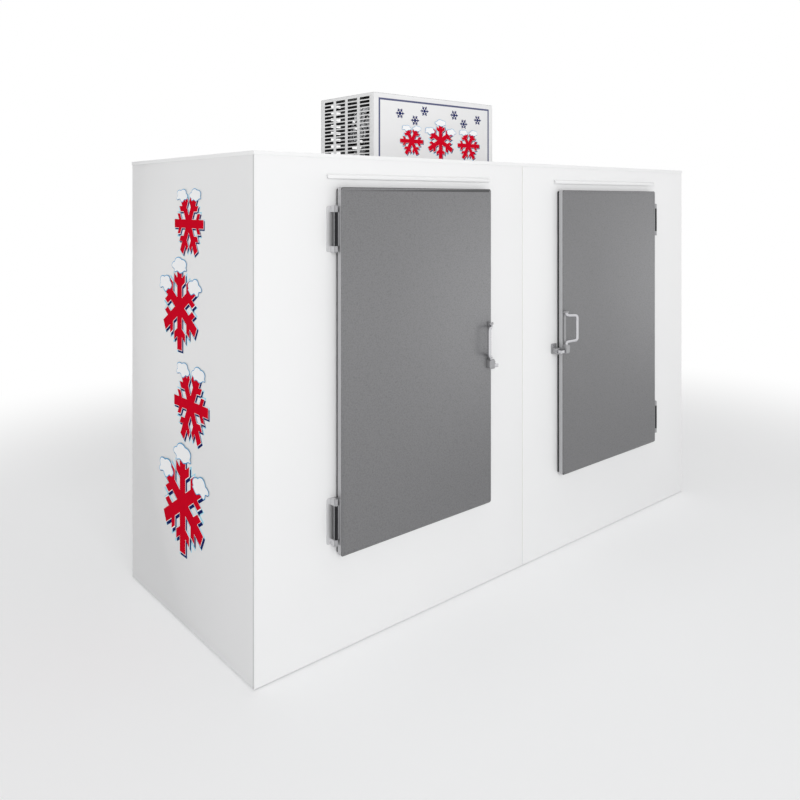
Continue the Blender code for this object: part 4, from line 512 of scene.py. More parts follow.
def build_enamel(tree, enter):
    """Orange peel and slight clouding of sprayed enamel."""
    cloud_scale, wipe_scale, cloud_tint = 2.2, 6.0, (0.94, 0.942, 0.948)
    cloud = noise(tree, enter["Vector"], cloud_scale, 3.0)["Fac"]
    peel = noise(tree, enter["Vector"], enter["Peel"], 1.0)["Fac"]
    wipe = noise(tree, enter["Vector"], wipe_scale, 1.0)["Fac"]
    dull = maths(tree, "MULTIPLY", cloud, enter["Clouding"])
    colour = tinted(tree, dull, enter["Colour"], cloud_tint)
    return colour, spread(tree, wipe, enter["Gloss"], enter["Matt"]), peel


def build_emboss(tree, enter):
    """The pebbled pattern rolled into stucco sheet, with painted shade in the pebbles' hollows
    and a broad painted sheen on one side.
    """
    warp_share, warp_size, hollow_shade_tint = 0.5, 0.004, (0.55, 0.55, 0.56)
    painted_sheen_left, painted_sheen_right, painted_sheen_middle, painted_sheen_height = -0.25, 0.42, 0.18, 0.75
    painted_sheen_gain, painted_sheen_floor, painted_sheen_tint = 0.7, 0.3, (2.0, 2.0, 2.0)
    drift_scale, drift_amount = 3.0, 0.10
    place = enter["Vector"]
    warp = noise(tree, place, maths(tree, "MULTIPLY", enter["Pebbles"], warp_share), 1.0)["Color"]
    offset = node(tree, "ShaderNodeVectorMath", {"operation": "SCALE"},
                  {0: warp, "Scale": warp_size})
    moved = node(tree, "ShaderNodeVectorMath", {"operation": "ADD"},
                 {0: place, 1: offset.outputs[0]})
    cells = node(tree, "ShaderNodeTexVoronoi", {"feature": "SMOOTH_F1"},
                 {"Vector": moved.outputs[0], "Scale": enter["Pebbles"], "Smoothness": 0.5})
    hollow = cells.outputs["Distance"]
    # Painted shade: the hollows between the pebbles are darkened
    pebbled = tinted(tree, maths(tree, "MULTIPLY", hollow, enter["Shade"]), enter["Colour"],
                     hollow_shade_tint)
    # Painted sheen: the colour is lightened toward the right and a little above the middle
    axes = node(tree, "ShaderNodeSeparateXYZ", None, {"Vector": place})
    across = ramp(tree, axes.outputs["X"], painted_sheen_left, painted_sheen_right)
    height = maths(tree, "ABSOLUTE", maths(tree, "SUBTRACT", axes.outputs["Z"], painted_sheen_middle))
    along = ramp(tree, height, 0.0, painted_sheen_height, 1.0, 0.0)
    rolled = maths(tree, "MULTIPLY_ADD", across, painted_sheen_gain, painted_sheen_floor)
    rolled = maths(tree, "MULTIPLY", maths(tree, "MULTIPLY", rolled, along), enter["Sheen"])
    colour = tinted(tree, rolled, pebbled, painted_sheen_tint)
    drift = maths(tree, "MULTIPLY", noise(tree, place, drift_scale, 2.0)["Fac"], drift_amount)
    rough = maths(tree, "ADD", drift, enter["Base roughness"])
    return colour, rough, maths(tree, "SUBTRACT", 1.0, hollow)


def build_spangle(tree, enter):
    """Crystals of zinc, each a little lighter or darker."""
    dark_tint, streak_scale = (0.72, 0.74, 0.77), 30.0
    rough_spread, rough_base = 0.18, 0.30
    cells = node(tree, "ShaderNodeTexVoronoi", None,
                 {"Vector": enter["Vector"], "Scale": enter["Spangles"]})
    tone = node(tree, "ShaderNodeSeparateColor", None, {"Color": cells.outputs["Color"]})
    amount = maths(tree, "MULTIPLY", tone.outputs[0], enter["Contrast"])
    colour = tinted(tree, amount, enter["Colour"], dark_tint)
    rough = maths(tree, "MULTIPLY_ADD", tone.outputs[1], rough_spread, rough_base)
    return colour, rough, noise(tree, enter["Vector"], streak_scale, 4.0)["Fac"]


def build_grain(tree, enter):
    """Fine lines of a drawn, turned or moulded surface, along one stretched direction."""
    line_tint, smudge_scale = (0.78, 0.78, 0.79), 22.0
    stretched = node(tree, "ShaderNodeMapping", None,
                     {"Vector": enter["Vector"], "Scale": enter["Stretch"]})
    lines = noise(tree, stretched.outputs[0], enter["Fineness"], 3.0)["Fac"]
    smudge = noise(tree, enter["Vector"], smudge_scale, 3.0)["Fac"]
    amount = maths(tree, "MULTIPLY", lines, enter["Contrast"])
    colour = tinted(tree, amount, enter["Colour"], line_tint)
    return colour, spread(tree, smudge, enter["Gloss"], enter["Matt"]), lines


# Patterns that materials share: group, builder and inputs with their first values
PATTERNS = {
    "enamel": ("Sprayed enamel", build_enamel,
               {"Peel": 260.0, "Clouding": 0.5, "Gloss": 0.27, "Matt": 0.33}),
    # The emboss's sheen is a painted highlight, and its Shade darkens the pebbles' hollows as
    # painted shade
    "emboss": ("Stucco emboss", build_emboss,
               {"Pebbles": 230.0, "Shade": 0.6, "Base roughness": 0.34, "Sheen": 0.0}),
    "spangle": ("Zinc spangle", build_spangle, {"Spangles": 70.0, "Contrast": 0.7}),
    "grain": ("Surface grain", build_grain,
              {"Stretch": (1.0, 1.0, 1.0), "Fineness": 200.0, "Contrast": 0.3, "Gloss": 0.1,
               "Matt": 0.2}),
}


def pattern_group(kind):
    """The shader group of a pattern, built once and placed in each material."""
    name, build, values = PATTERNS[kind]
    group = bpy.data.node_groups.get(name)
    if group is not None:
        return group
    group = bpy.data.node_groups.new(name, "ShaderNodeTree")
    group.interface.new_socket("Vector", in_out="INPUT", socket_type="NodeSocketVector")
    group.interface.new_socket("Colour", in_out="INPUT", socket_type="NodeSocketColor")
    for label, value in values.items():
        socket_type = "NodeSocketVector" if isinstance(value, tuple) else "NodeSocketFloat"
        socket = group.interface.new_socket(label, in_out="INPUT", socket_type=socket_type)
        socket.default_value = value
    outputs = {"Colour": "NodeSocketColor", "Roughness": "NodeSocketFloat",
               "Height": "NodeSocketFloat"}
    for label, socket_type in outputs.items():
        group.interface.new_socket(label, in_out="OUTPUT", socket_type=socket_type)
    enter = group.nodes.new("NodeGroupInput")
    leave = group.nodes.new("NodeGroupOutput")
    for label, result in zip(outputs, build(group, enter.outputs)):
        group.links.new(result, leave.inputs[label])
    return group


def grain(fineness, contrast, gloss, matt, stretch=(1.0, 1.0, 1.0)):
    """Values of the surface grain."""
    return {"Fineness": fineness, "Contrast": contrast, "Gloss": gloss, "Matt": matt,
            "Stretch": stretch}


PLATED = {"metallic": 0.5, "bump": 0.04, "depth": 0.0003}
SATIN_GRAIN = grain(700.0, 0.3, 0.36, 0.5, (1.0, 1.0, 0.08))
VINYL = {"Peel": 420.0, "Clouding": 0.25, "Gloss": 0.3, "Matt": 0.42}

# Finishes: material, pattern, paint, share of the paint's tone, pattern values and shader values
FINISHES = {
    "enamel": ("white_enamel", "enamel", "enamel", 1.0, {}, {"bump": 0.012, "coat": 0.2}),
    # A darker copy of the enamel: painted shade along the side panels' front corners
    "enamel_fold": ("white_enamel_fold", "enamel", "enamel", 0.72, {},
                    {"bump": 0.012, "coat": 0.2}),
    # A darker copy of the door steel: painted shade on the rim's top and bottom bands
    "rim_steel": ("door_rim_steel", "grain", "door_steel", 0.42,
                  grain(400.0, 0.3, 0.32, 0.42, (0.1, 1.0, 1.0)),
                  {"metallic": 0.6, "bump": 0.04, "depth": 0.0003}),
    "folded_edge": ("door_folded_edge", "grain", "folded_edge", 1.0,
                    grain(600.0, 0.25, 0.30, 0.42, (1.0, 1.0, 0.05)), PLATED),
    # A lighter copy of the satin plating: painted light on the hinge leaves
    "leaf_metal": ("leaf_plating", "grain", "leaf", 1.0, SATIN_GRAIN, PLATED),
    "satin_metal": ("satin_plating", "grain", "satin", 1.0, SATIN_GRAIN, PLATED),
    "plating": ("bright_plating", "grain", "plating", 1.0,
                grain(900.0, 0.25, 0.10, 0.22, (1.0, 1.0, 0.05)),
                {"metallic": 1.0, "bump": 0.03, "depth": 0.0002}),
    "sleeve_black": ("black_enamel", "enamel", "sleeve_black", 1.0,
                     {"Peel": 600.0, "Gloss": 0.34, "Matt": 0.5},
                     {"bump": 0.05, "specular": 0.2}),
    "zinc": ("galvanised_sheet", "spangle", "zinc", 1.0, {}, PLATED),
    # Near black: painted shade inside the housing
    "bare_inside": ("housing_inside", "spangle", "inside", 1.0, {},
                    {"metallic": 0.3, "bump": 0.04, "depth": 0.0003, "specular": 0.2}),
    "seal": ("gasket_rubber", "grain", "seal", 1.0, grain(500.0, 0.5, 0.48, 0.66),
             {"bump": 0.1, "depth": 0.0003}),
    "liner_plastic": ("liner_plastic", "emboss", "liner_plastic", 1.0,
                      {"Pebbles": 320.0, "Shade": 0.12, "Base roughness": 0.32},
                      {"bump": 0.12, "depth": 0.0004}),
    "foam": ("insulation_foam", "grain", "foam", 1.0, grain(420.0, 0.6, 0.8, 0.95),
             {"bump": 0.4, "depth": 0.001}),
    "fin_metal": ("fin_aluminium", "grain", "fin_metal", 1.0,
                  grain(500.0, 0.3, 0.22, 0.36, (1.0, 1.0, 0.1)),
                  {"metallic": 0.9, "bump": 0.05, "depth": 0.0003}),
    # The inside's near black: painted shade on the condenser coil and shroud
    "coil_painted_shade": ("coated_fins", "grain", "inside", 1.0,
                   grain(500.0, 0.5, 0.4, 0.6, (1.0, 1.0, 0.1)),
                   {"metallic": 0.2, "bump": 0.05, "depth": 0.0003, "specular": 0.3}),
    "copper": ("copper_pipe", "grain", "copper", 1.0, grain(120.0, 0.6, 0.22, 0.42),
               {"metallic": 1.0, "bump": 0.05, "depth": 0.0003}),
}
COAT_ROUGHNESS = 0.08


def finish_material(name, pattern, colour, values, metallic=0.0, coat=0.0, bump=0.1,
                    depth=0.0005, specular=0.5, centre=None):
    """A material whose colour, roughness and relief come from a shared pattern."""
    found = bpy.data.materials.get(name)
    if found is not None:
        return found
    colour = (*colour, 1.0)
    material = bpy.data.materials.new(name)
    material.diffuse_color = colour
    material.use_nodes = True
    tree = material.node_tree
    shader = tree.nodes["Principled BSDF"]
    shader.inputs["Metallic"].default_value = metallic
    shader.inputs["Coat Weight"].default_value = coat
    shader.inputs["Coat Roughness"].default_value = COAT_ROUGHNESS
    shader.inputs["Specular IOR Level"].default_value = specular
    place = node(tree, "ShaderNodeTexCoord").outputs["Object"]
    if centre is not None:
        place = node(tree, "ShaderNodeMapping", None,
                     {"Vector": place, "Location": tuple(-centre)}).outputs[0]
    group = node(tree, "ShaderNodeGroup", {"node_tree": pattern_group(pattern)},
                 {"Vector": place, "Colour": colour, **values})
    relief = node(tree, "ShaderNodeBump", None,
                  {"Strength": bump, "Distance": depth, "Height": group.outputs["Height"]})
    tree.links.new(group.outputs["Colour"], shader.inputs["Base Color"])
    tree.links.new(group.outputs["Roughness"], shader.inputs["Roughness"])
    tree.links.new(relief.outputs["Normal"], shader.inputs["Normal"])
    return material


def finish(key):
    """The material of a finish, in the user's paint."""
    name, pattern, paint, tone, values, settings = FINISHES[key]
    colour = getattr(bpy.context.scene.merchandiser_paint, paint)
    return finish_material(name, pattern, [tone * part for part in colour], values, **settings)


def door_steel(word, centre):
    """Embossed grey steel of one door, with a painted sheen that makes it lighter toward its
    right and a little above its middle.
    """
    return finish_material("embossed_door_steel_" + word, "emboss",
                           bpy.context.scene.merchandiser_paint.door_steel, {"Sheen": 0.42},
                           metallic=0.55, bump=0.35, depth=0.0006, centre=centre)


def vinyl(name, colour=None):
    """Printed vinyl film in one of the artwork's colours."""
    art = bpy.context.scene.merchandiser_artwork
    return finish_material("vinyl_" + name, "enamel", getattr(art, colour or name), VINYL,
                           bump=0.012, depth=0.0003, specular=0.0)


def film_of(item, low, high):
    """Set a slab's thickness: its underside and its face above the panel."""
    for vert in item.data.vertices:
        vert.co.z = high if vert.co.z > 0 else low
    return item


def lay_film(item, name, colour, level, layer, place):
    """Make a slab a film at its level over the panel, and put it in its place."""
    film_of(item, level * layer, (level + 1) * layer)
    item.data.transform(place)
    settle(item, name, vinyl(colour), "cabinet")


def snow_crystal(reach, width, grow=0.0):
    """A hexagon whose sides are extruded into six arms with slanted side branches."""
    clear_selection()
    centre = width + 2 * grow
    bpy.ops.mesh.primitive_cylinder_add(vertices=ARMS, radius=centre, depth=width)
    item = bpy.context.object
    open_edit(item)
    pick(item, "faces", lambda face: abs(face.normal.z) < OFF_AXIS)
    low, high = reach * BRANCH_START - grow, reach * BRANCH_END + grow
    length = reach * BRANCH_LENGTH + grow
    along = centre * math.cos(ARM_TURN / 2)
    for station in (low, high, reach + grow):
        bpy.ops.mesh.extrude_faces_move(TRANSFORM_OT_shrink_fatten={"value": station - along})
        along = station
    pick(item, "faces", lambda face: arm_flank(face, low, high, centre))
    bpy.ops.mesh.extrude_faces_move(TRANSFORM_OT_shrink_fatten={"value": length})
    for arm in range(ARMS):
        heading = Vector((math.cos(ARM_TURN * arm), math.sin(ARM_TURN * arm), 0))
        pick(item, "faces",
             lambda face: branch_end(face, heading, low, high, centre / 2 + length))
        bpy.ops.transform.translate(value=heading * length * math.tan(ARM_TURN / 2))
    close_edit()
    round_edges(item, width * CRYSTAL_ROUNDING + grow * 0.5, 2, 40)
    return item


def arm_flank(face, low, high, width):
    """Whether a face is the flank of an arm between two stations."""
    point = face.calc_center_median()
    turn = round(math.atan2(point.y, point.x) / ARM_TURN) * ARM_TURN
    out = point.x * math.cos(turn) + point.y * math.sin(turn)
    aside = point.y * math.cos(turn) - point.x * math.sin(turn)
    return (abs(face.normal.z) < OFF_AXIS and low < out < high
            and abs(abs(aside) - width / 2) < width * PLACE_SLACK)


def branch_end(face, heading, low, high, reach_aside):
    """Whether a face is the end of a side branch of the arm that points along a heading."""
    point = face.calc_center_median()
    out = point.dot(heading)
    aside = (point - heading * out).length
    across = abs(face.normal.z) < OFF_AXIS and abs(face.normal.dot(heading)) < BRANCH_SLANT
    return (across and low < out < high
            and abs(aside - reach_aside) < reach_aside * PLACE_SLACK)


def frost_cap(width, height, seed, grow):
    """A soft cap of frost: a disc drawn out sideways, lobed above and dripping underneath."""
    clear_selection()
    bpy.ops.mesh.primitive_cylinder_add(vertices=CAP_SIDES, radius=1.0, depth=CAP_SLAB)
    item = bpy.context.object
    for vert in item.data.vertices:
        angle = math.atan2(vert.co.y, vert.co.x)
        lobes = (LOBE[0] + LOBE[1] * abs(math.cos(LOBE[2] * angle + seed))
                 + RIPPLE[0] * math.cos(RIPPLE[1] * angle + seed))
        drop = DRIP[0] + DRIP[1] * math.cos(DRIP[2] * angle + seed) if vert.co.y < 0 else 1.0
        vert.co.x *= lobes * width + grow
        vert.co.y *= lobes * height * drop + grow
    return item


def crystal_layers(label, place, reach, turn, layer):
    """One crystal as films of vinyl: pale outline, navy shade, red face and frost caps."""
    art = bpy.context.scene.merchandiser_artwork
    width = reach * ARM_WIDTH
    outline = reach * art.outline
    offset = reach * art.shade
    spin = Matrix.Rotation(turn, 4, "Z")
    for name, colour, grow, level, share in CRYSTAL_FILMS:
        shift = Matrix.Translation((offset * share, -offset * share * SHADE_FALL, 0))
        crystal = snow_crystal(reach, width, outline * grow)
        lay_film(crystal, f"{label}_{name}", colour, level, layer, place @ shift @ spin)
    for arm in range(ARMS):
        angle = turn + ARM_TURN * arm
        up = math.sin(angle)
        if up < FROST_FROM:
            continue
        for name, colour, grow, level, sag in FROST_FILMS:
            tip = Matrix.Translation((math.cos(angle) * reach * CAP_OUT,
                                      up * reach * CAP_OUT + width * CAP_LIFT - outline * sag, 0))
            cap = frost_cap(width * (CAP_WIDTH + CAP_SPREAD * up), width * CAP_HEIGHT,
                            arm * FROST_SEED, outline * grow)
            lay_film(cap, f"{label}_{name}_{arm}", colour, level, layer * FROST_LAYER,
                     place @ tip)


def screw_head(radius, depth):
    """A pan-head screw with a recessed drive, standing on the XY plane."""
    clear_selection()
    bpy.ops.mesh.primitive_cylinder_add(vertices=SCREW_SIDES, radius=radius, depth=depth,
                                        location=(0, 0, depth / 2))
    item = bpy.context.object
    place_applied(item)
    open_edit(item)
    pick(item, "faces", lambda face: face.normal.z > ALONG_AXIS)
    bpy.ops.mesh.inset(thickness=radius * SCREW_SHOULDER)
    bpy.ops.transform.translate(value=(0, 0, depth * SCREW_DOME))
    bpy.ops.mesh.inset(thickness=radius * SCREW_LAND)
    bpy.ops.mesh.inset(thickness=radius * SCREW_WALL)
    bpy.ops.transform.translate(value=(0, 0, -depth * SCREW_RECESS))
    close_edit()
    return item


def swept_bar(radius, start, heading, normal, moves):
    """A round bar that runs straight and bends in one plane.

    A ring is extruded along each run and spun round each bend. A move is a
    length and None, or an angle and the radius of its bend.
    """
    clear_selection()
    turn = Matrix((normal.cross(heading), normal, heading)).transposed().to_4x4()
    bpy.ops.mesh.primitive_circle_add(vertices=BAR_SIDES, radius=radius)
    item = bpy.context.object
    item.matrix_world = Matrix.Translation(start) @ turn
    place_applied(item)
    open_edit(item, "EDGE")
    bpy.ops.mesh.select_all(action="SELECT")
    place = start.copy()
    for amount, bend in moves:
        if bend is None:
            bpy.ops.mesh.extrude_region_move(TRANSFORM_OT_translate={"value": heading * amount})
            place += heading * amount
            continue
        centre = place + normal.cross(heading) * math.copysign(bend, amount)
        turned = Matrix.Rotation(amount, 3, normal)
        place = centre + turned @ (place - centre)
        heading = (turned @ heading).normalized()
        steps = max(3, round(abs(amount) / BEND_STEP))
        bpy.ops.mesh.spin(steps=steps, angle=-amount, center=centre, axis=normal)
        work = bmesh.from_edit_mesh(item.data)
        ends = [vert.co for vert in work.verts if vert.select]
        if (sum(ends, Vector()) / len(ends) - place).length > radius:
            raise RuntimeError("the bar's bend turned the wrong way")
    pick(item, "edges", lambda edge: edge.is_boundary)
    bpy.ops.mesh.edge_face_add()
    close_edit()
    open_edit(item)
    outward_normals()
    close_edit()
    return item


class MERCHANDISER_OT_panels(bpy.types.Operator):
    """Enamel the cabinet's outer panels and give their edges a small rounding"""

    bl_idname = "merchandiser.panels"
    bl_label = "Outer panels"

    def execute(self, context):
        hardware = context.scene.merchandiser_hardware
        for name in ("roof_pan", "back_panel"):
            softened(name, finish("enamel"), "cabinet", hardware.edge)
        for word, side in SIDES:
            low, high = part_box("side_panel_" + word)
            panel = softened("side_panel_" + word, finish("enamel"), "cabinet", hardware.edge)
            fold = low.y + hardware.fold
            open_edit(panel)
            bpy.ops.mesh.select_all(action="SELECT")
            bpy.ops.mesh.bisect(plane_co=(0, fold, 0), plane_no=(0, 1, 0))
            close_edit()
            outer = high.x if side > 0 else low.x
            # Painted shade: the strip beside the front gets a darker copy of the enamel
            second_finish(panel, finish("enamel_fold"), lambda place: place.y < fold
                          and abs(place.x - outer) < OUTER_SKIN)
        for word, _ in SIDES:
            for name in ("front_panel_", "drip_rail_"):
                softened(name + word, finish("enamel"), "cabinet", hardware.edge)
        return {"FINISHED"}


class MERCHANDISER_OT_base(bpy.types.Operator):
    """Galvanise the base, and give the foam and the liner their finishes"""

    bl_idname = "merchandiser.base"
    bl_label = "Base, foam and liner"

    def execute(self, context):
        for name in ("base_frame", "base_pan"):
            softened(name, finish("zinc"), "cabinet", context.scene.merchandiser_hardware.edge)
        dress("inner_liner", finish("zinc"))
        for word in ("back", "floor", "front", "left", "right", "roof"):
            dress("insulation_" + word, finish("foam"))
        return {"FINISHED"}


class MERCHANDISER_OT_doors(bpy.types.Operator):
    """Emboss the door skins, and finish the plugs, gaskets and door frames"""

    bl_idname = "merchandiser.doors"
    bl_label = "Doors"

    def execute(self, context):
        for word, _ in SIDES:
            body = "door_" + word
            low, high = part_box("door_skin_" + word)
            skin = softened("door_skin_" + word, door_steel(word, (low + high) / 2), body,
                            SKIN_EDGE, 1, 40)
            # Painted shade: the top and bottom bands of the pressed rim get a darker copy of the
            # door steel
            second_finish(skin, finish("rim_steel"), lambda place: place.y < low.y + RIM_DEPTH
                          and not low.z + RIM_BAND <= place.z <= high.z - RIM_BAND)
            second_finish(skin, finish("folded_edge"), lambda place: place.y > low.y + FOLD_DEPTH
                          and not (low.x + FOLD_INSET < place.x < high.x - FOLD_INSET
                                   and low.z + FOLD_INSET < place.z < high.z - FOLD_INSET))
            softened("door_plug_" + word, finish("liner_plastic"), body, PLUG_EDGE, 3, 50)
            softened("door_gasket_" + word, finish("seal"), body, GASKET_EDGE, 2, 50)
            softened("door_frame_" + word, finish("liner_plastic"), "cabinet", SKIN_EDGE)
        return {"FINISHED"}


class MERCHANDISER_OT_hinges(bpy.types.Operator):
    """Finish the hinges and blacken their sleeves"""

    bl_idname = "merchandiser.hinges"
    bl_label = "Hinges"

    def execute(self, context):
        edge = context.scene.merchandiser_hardware.plate_edge
        for word, _ in SIDES:
            axis = joint_place(f"door_{word}_hinge")
            for level in LEVELS:
                # Painted light: the leaves get a lighter copy of the satin plating, and the
                # knuckles keep the satin
                leaf = softened(f"hinge_frame_leaf_{word}_{level}", finish("leaf_metal"),
                                "cabinet", edge)
                second_finish(leaf, finish("satin_metal"),
                              lambda place: abs(place.x - axis.x) < KNUCKLE_REACH
                              and place.y < axis.y + KNUCKLE_BACK)
                sleeve = softened(f"hinge_door_leaf_{word}_{level}", finish("satin_metal"),
                                  "door_" + word, edge * 0.6)
                second_finish(sleeve, finish("sleeve_black"),
                              lambda place: abs(place.x - axis.x) < SLEEVE_REACH)
        return {"FINISHED"}


class MERCHANDISER_OT_handles(bpy.types.Operator):
    """Bend the handle bars, and plate the latches, bolts and strikes"""

    bl_idname = "merchandiser.handles"
    bl_label = "Handles and latches"

    def execute(self, context):
        hardware = context.scene.merchandiser_hardware
        edge = hardware.plate_edge
        for word, side in SIDES:
            door = "door_" + word
            softened("latch_body_" + word, finish("satin_metal"), door, edge * 0.8)
            softened("latch_bolt_" + word, finish("plating"), "latch_bolt_" + word, edge * 0.6)
            softened("strike_" + word, finish("satin_metal"), "cabinet", edge)
            self.bend_bar(word, side, hardware)
            low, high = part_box("strike_" + word)
            x = low.x + (high.x - low.x) * 0.5 - side * STRIKE_SCREW_SHIFT
            places = [(x, high.y - STRIKE_SCREW_SINK, low.z + (high.z - low.z) * share)
                      for share in STRIKE_SCREW_LEVELS]
            self.screws("strike_screws_" + word, places, STRIKE_SCREW, hardware, "cabinet")
            pivot = joint_place(f"handle_{word}_pivot")
            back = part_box("latch_body_" + word)[1].y - LATCH_SCREW_SINK
            places = [(pivot.x, back, pivot.z + rise) for rise in LATCH_SCREW_RISES]
            self.screws("latch_screws_" + word, places, LATCH_SCREW, hardware, door)
        return {"FINISHED"}

    def screws(self, name, places, size, hardware, body):
        """Screws that face the front."""
        share, height = size
        turned = [Matrix.Translation(place) @ FACING_FRONT for place in places]
        copies_joined(screw_head(hardware.screw * share, height), turned, name,
                      finish("plating"), body)

    def bend_bar(self, word, side, hardware):
        """The D-shaped bar, from its upper pivot round the grip into the latch case."""
        pivot = joint_place(f"handle_{word}_pivot")
        across = Vector((side * hardware.reach_in, -hardware.reach_out, 0))
        reach = across.length
        down = Vector((0, 0, -1))
        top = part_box("handle_" + word)[1].z
        upper = pivot.z + hardware.upper_arm
        lower = pivot.z + hardware.lower_arm
        turn = pivot.z + hardware.lower_turn
        bend = hardware.bend
        normal = down.cross(across.normalized()).normalized()
        lower_angle = RIGHT_ANGLE - math.atan2(lower - turn, reach)
        cut_first = bend * math.tan(RIGHT_ANGLE / 2)
        cut_lower = bend * math.tan(lower_angle / 2)
        arm = math.hypot(reach, lower - turn)
        moves = [(top - upper - cut_first, None), (RIGHT_ANGLE, bend),
                 (reach - 2 * cut_first, None), (-RIGHT_ANGLE, bend),
                 (upper - lower - cut_first - cut_lower, None), (-lower_angle, bend),
                 (arm - 2 * cut_lower, None), (lower_angle, bend),
                 (turn - pivot.z - cut_lower, None)]
        start = Vector((pivot.x, pivot.y, top))
        bar = swept_bar(hardware.grip, start, down, normal, moves)
        body = "handle_" + word
        settle(bar, f"handle_bar_{word}", finish("plating"), body, (f"handle_{word}",))
        clear_selection()
        bpy.ops.mesh.primitive_cylinder_add(vertices=CAM_SIDES, radius=CAM_RADIUS,
                                            depth=CAM_HEIGHT,
                                            location=(pivot.x, pivot.y, pivot.z - CAM_DROP))
        cam = bpy.context.object
        round_edges(cam, CAM_EDGE)
        settle(cam, f"handle_cam_{word}", finish("zinc"), body)


class MERCHANDISER_OT_housing(bpy.types.Operator):
    """Enamel the housing on the roof and finish its base, screws and gland"""

    bl_idname = "merchandiser.housing"
    bl_label = "Unit housing"

    def execute(self, context):
        hardware = context.scene.merchandiser_hardware
        for name, axis, inward in SHEETS:
            low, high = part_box(name)
            growth = hardware.slot_growth if name.startswith("unit_grille") else 0.0
            shell = softened(name, finish("enamel"), "cabinet", hardware.edge * 0.6,
                             slot_growth=growth)
            # Painted shade: the sheets' inner faces are near black
            second_finish(shell, finish("bare_inside"),
                          lambda place: on_the_inside(place, low, high, axis, inward))
        dress("unit_base", finish("zinc"))
        softened("inlet_gland", finish("sleeve_black"), "cabinet", SMALL_EDGE)
        low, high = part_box("unit_back_grille")
        places = [Matrix.Translation((x, high.y, z)) @ FACING_BACK
                  for x in (low.x + HOUSING_SCREW_INSET, 0.0, high.x - HOUSING_SCREW_INSET)
                  for z in (low.z + HOUSING_SCREW_INSET, high.z - HOUSING_SCREW_TOP_INSET)]
        copies_joined(screw_head(*HOUSING_SCREW), places, "housing_screws", finish("plating"),
                      "cabinet")
        return {"FINISHED"}


class MERCHANDISER_OT_condensing_unit(bpy.types.Operator):
    """Finish the condensing unit under the housing"""

    bl_idname = "merchandiser.condensing_unit"
    bl_label = "Condensing unit"

    def execute(self, context):
        # Painted shade: the condenser coil and shroud take the near black of the housing's inside
        for name, key in (("condenser_fan", "fin_metal"), ("condenser_shroud", "coil_painted_shade"),
                          ("condenser_coil", "coil_painted_shade"), ("condenser_motor", "sleeve_black"),
                          ("compressor", "sleeve_black"), ("control_box", "zinc"),
                          ("refrigerant_lines", "copper")):
            dress(name, finish(key))
        return {"FINISHED"}


class MERCHANDISER_OT_evaporator(bpy.types.Operator):
    """Finish the evaporator under the ceiling"""

    bl_idname = "merchandiser.evaporator"
    bl_label = "Evaporator"

    def execute(self, context):
        softened("evaporator_housing", finish("zinc"), "cabinet", SMALL_EDGE)
        for name, key in (("evaporator_coil", "fin_metal"), ("evaporator_fan", "fin_metal"),
                          ("evaporator_motor", "sleeve_black"), ("drain_tray", "zinc")):
            dress(name, finish(key))
        return {"FINISHED"}


class MERCHANDISER_OT_side_artwork(bpy.types.Operator):
    """Lay the vinyl snow crystals on the left side panel"""

    bl_idname = "merchandiser.side_artwork"
    bl_label = "Side artwork"

    def execute(self, context):
        low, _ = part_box("side_panel_left")
        for number, (across, z, reach, turn) in enumerate(SIDE_CRYSTALS):
            place = Matrix.Translation((low.x, -across, z)) @ FACING_LEFT
            crystal_layers(f"side_crystal_{number + 1}", place, reach, math.radians(turn),
                           SIDE_LAYER)
        return {"FINISHED"}


class MERCHANDISER_OT_sign_artwork(bpy.types.Operator):
    """Lay the border and the snow crystals on the housing's front"""

    bl_idname = "merchandiser.sign_artwork"
    bl_label = "Sign artwork"

    def execute(self, context):
        low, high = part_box("unit_sign_panel")
        self.border(low, high, context.scene.merchandiser_artwork.border)
        for number, (x, z, reach, turn) in enumerate(SIGN_CRYSTALS):
            place = Matrix.Translation((x, low.y, z)) @ FACING_FRONT
            crystal_layers(f"sign_crystal_{number + 1}", place, reach, math.radians(turn),
                           SIGN_LAYER)
        small = film_of(snow_crystal(SMALL_REACH, SMALL_WIDTH), 0.0, SMALL_FILM)
        apply_all(small)
        shrink = Matrix.Diagonal((SMALL_SCALE, SMALL_SCALE, 1.0, 1.0))
        places = [Matrix.Translation((x, low.y, z)) @ FACING_FRONT @ shrink
                  for x, z in SMALL_CRYSTALS]
        copies_joined(small, places, "sign_small_crystals", vinyl("shade", "navy"), "cabinet")
        return {"FINISHED"}

    def border(self, low, high, width):
        """The line round the sign."""
        clear_selection()
        bpy.ops.mesh.primitive_plane_add(size=1.0)
        item = bpy.context.object
        size = Matrix.Diagonal((high.x - low.x - SIGN_MARGIN_X, high.z - low.z - SIGN_MARGIN_Z,
                                1.0, 1.0))
        place = Matrix.Translation((0, low.y - SIGN_LIFT, (low.z + high.z) / 2))
        item.matrix_world = place @ FACING_FRONT @ size
        place_applied(item)
        open_edit(item)
        bpy.ops.mesh.select_all(action="SELECT")
        bpy.ops.mesh.inset(thickness=width)
        bpy.ops.mesh.delete(type="FACE")
        bpy.ops.mesh.select_all(action="SELECT")
        bpy.ops.mesh.extrude_region_move(TRANSFORM_OT_translate={"value": (0, -SIGN_FILM, 0)})
        outward_normals()
        close_edit()
        settle(item, "sign_border", vinyl("line"), "cabinet")


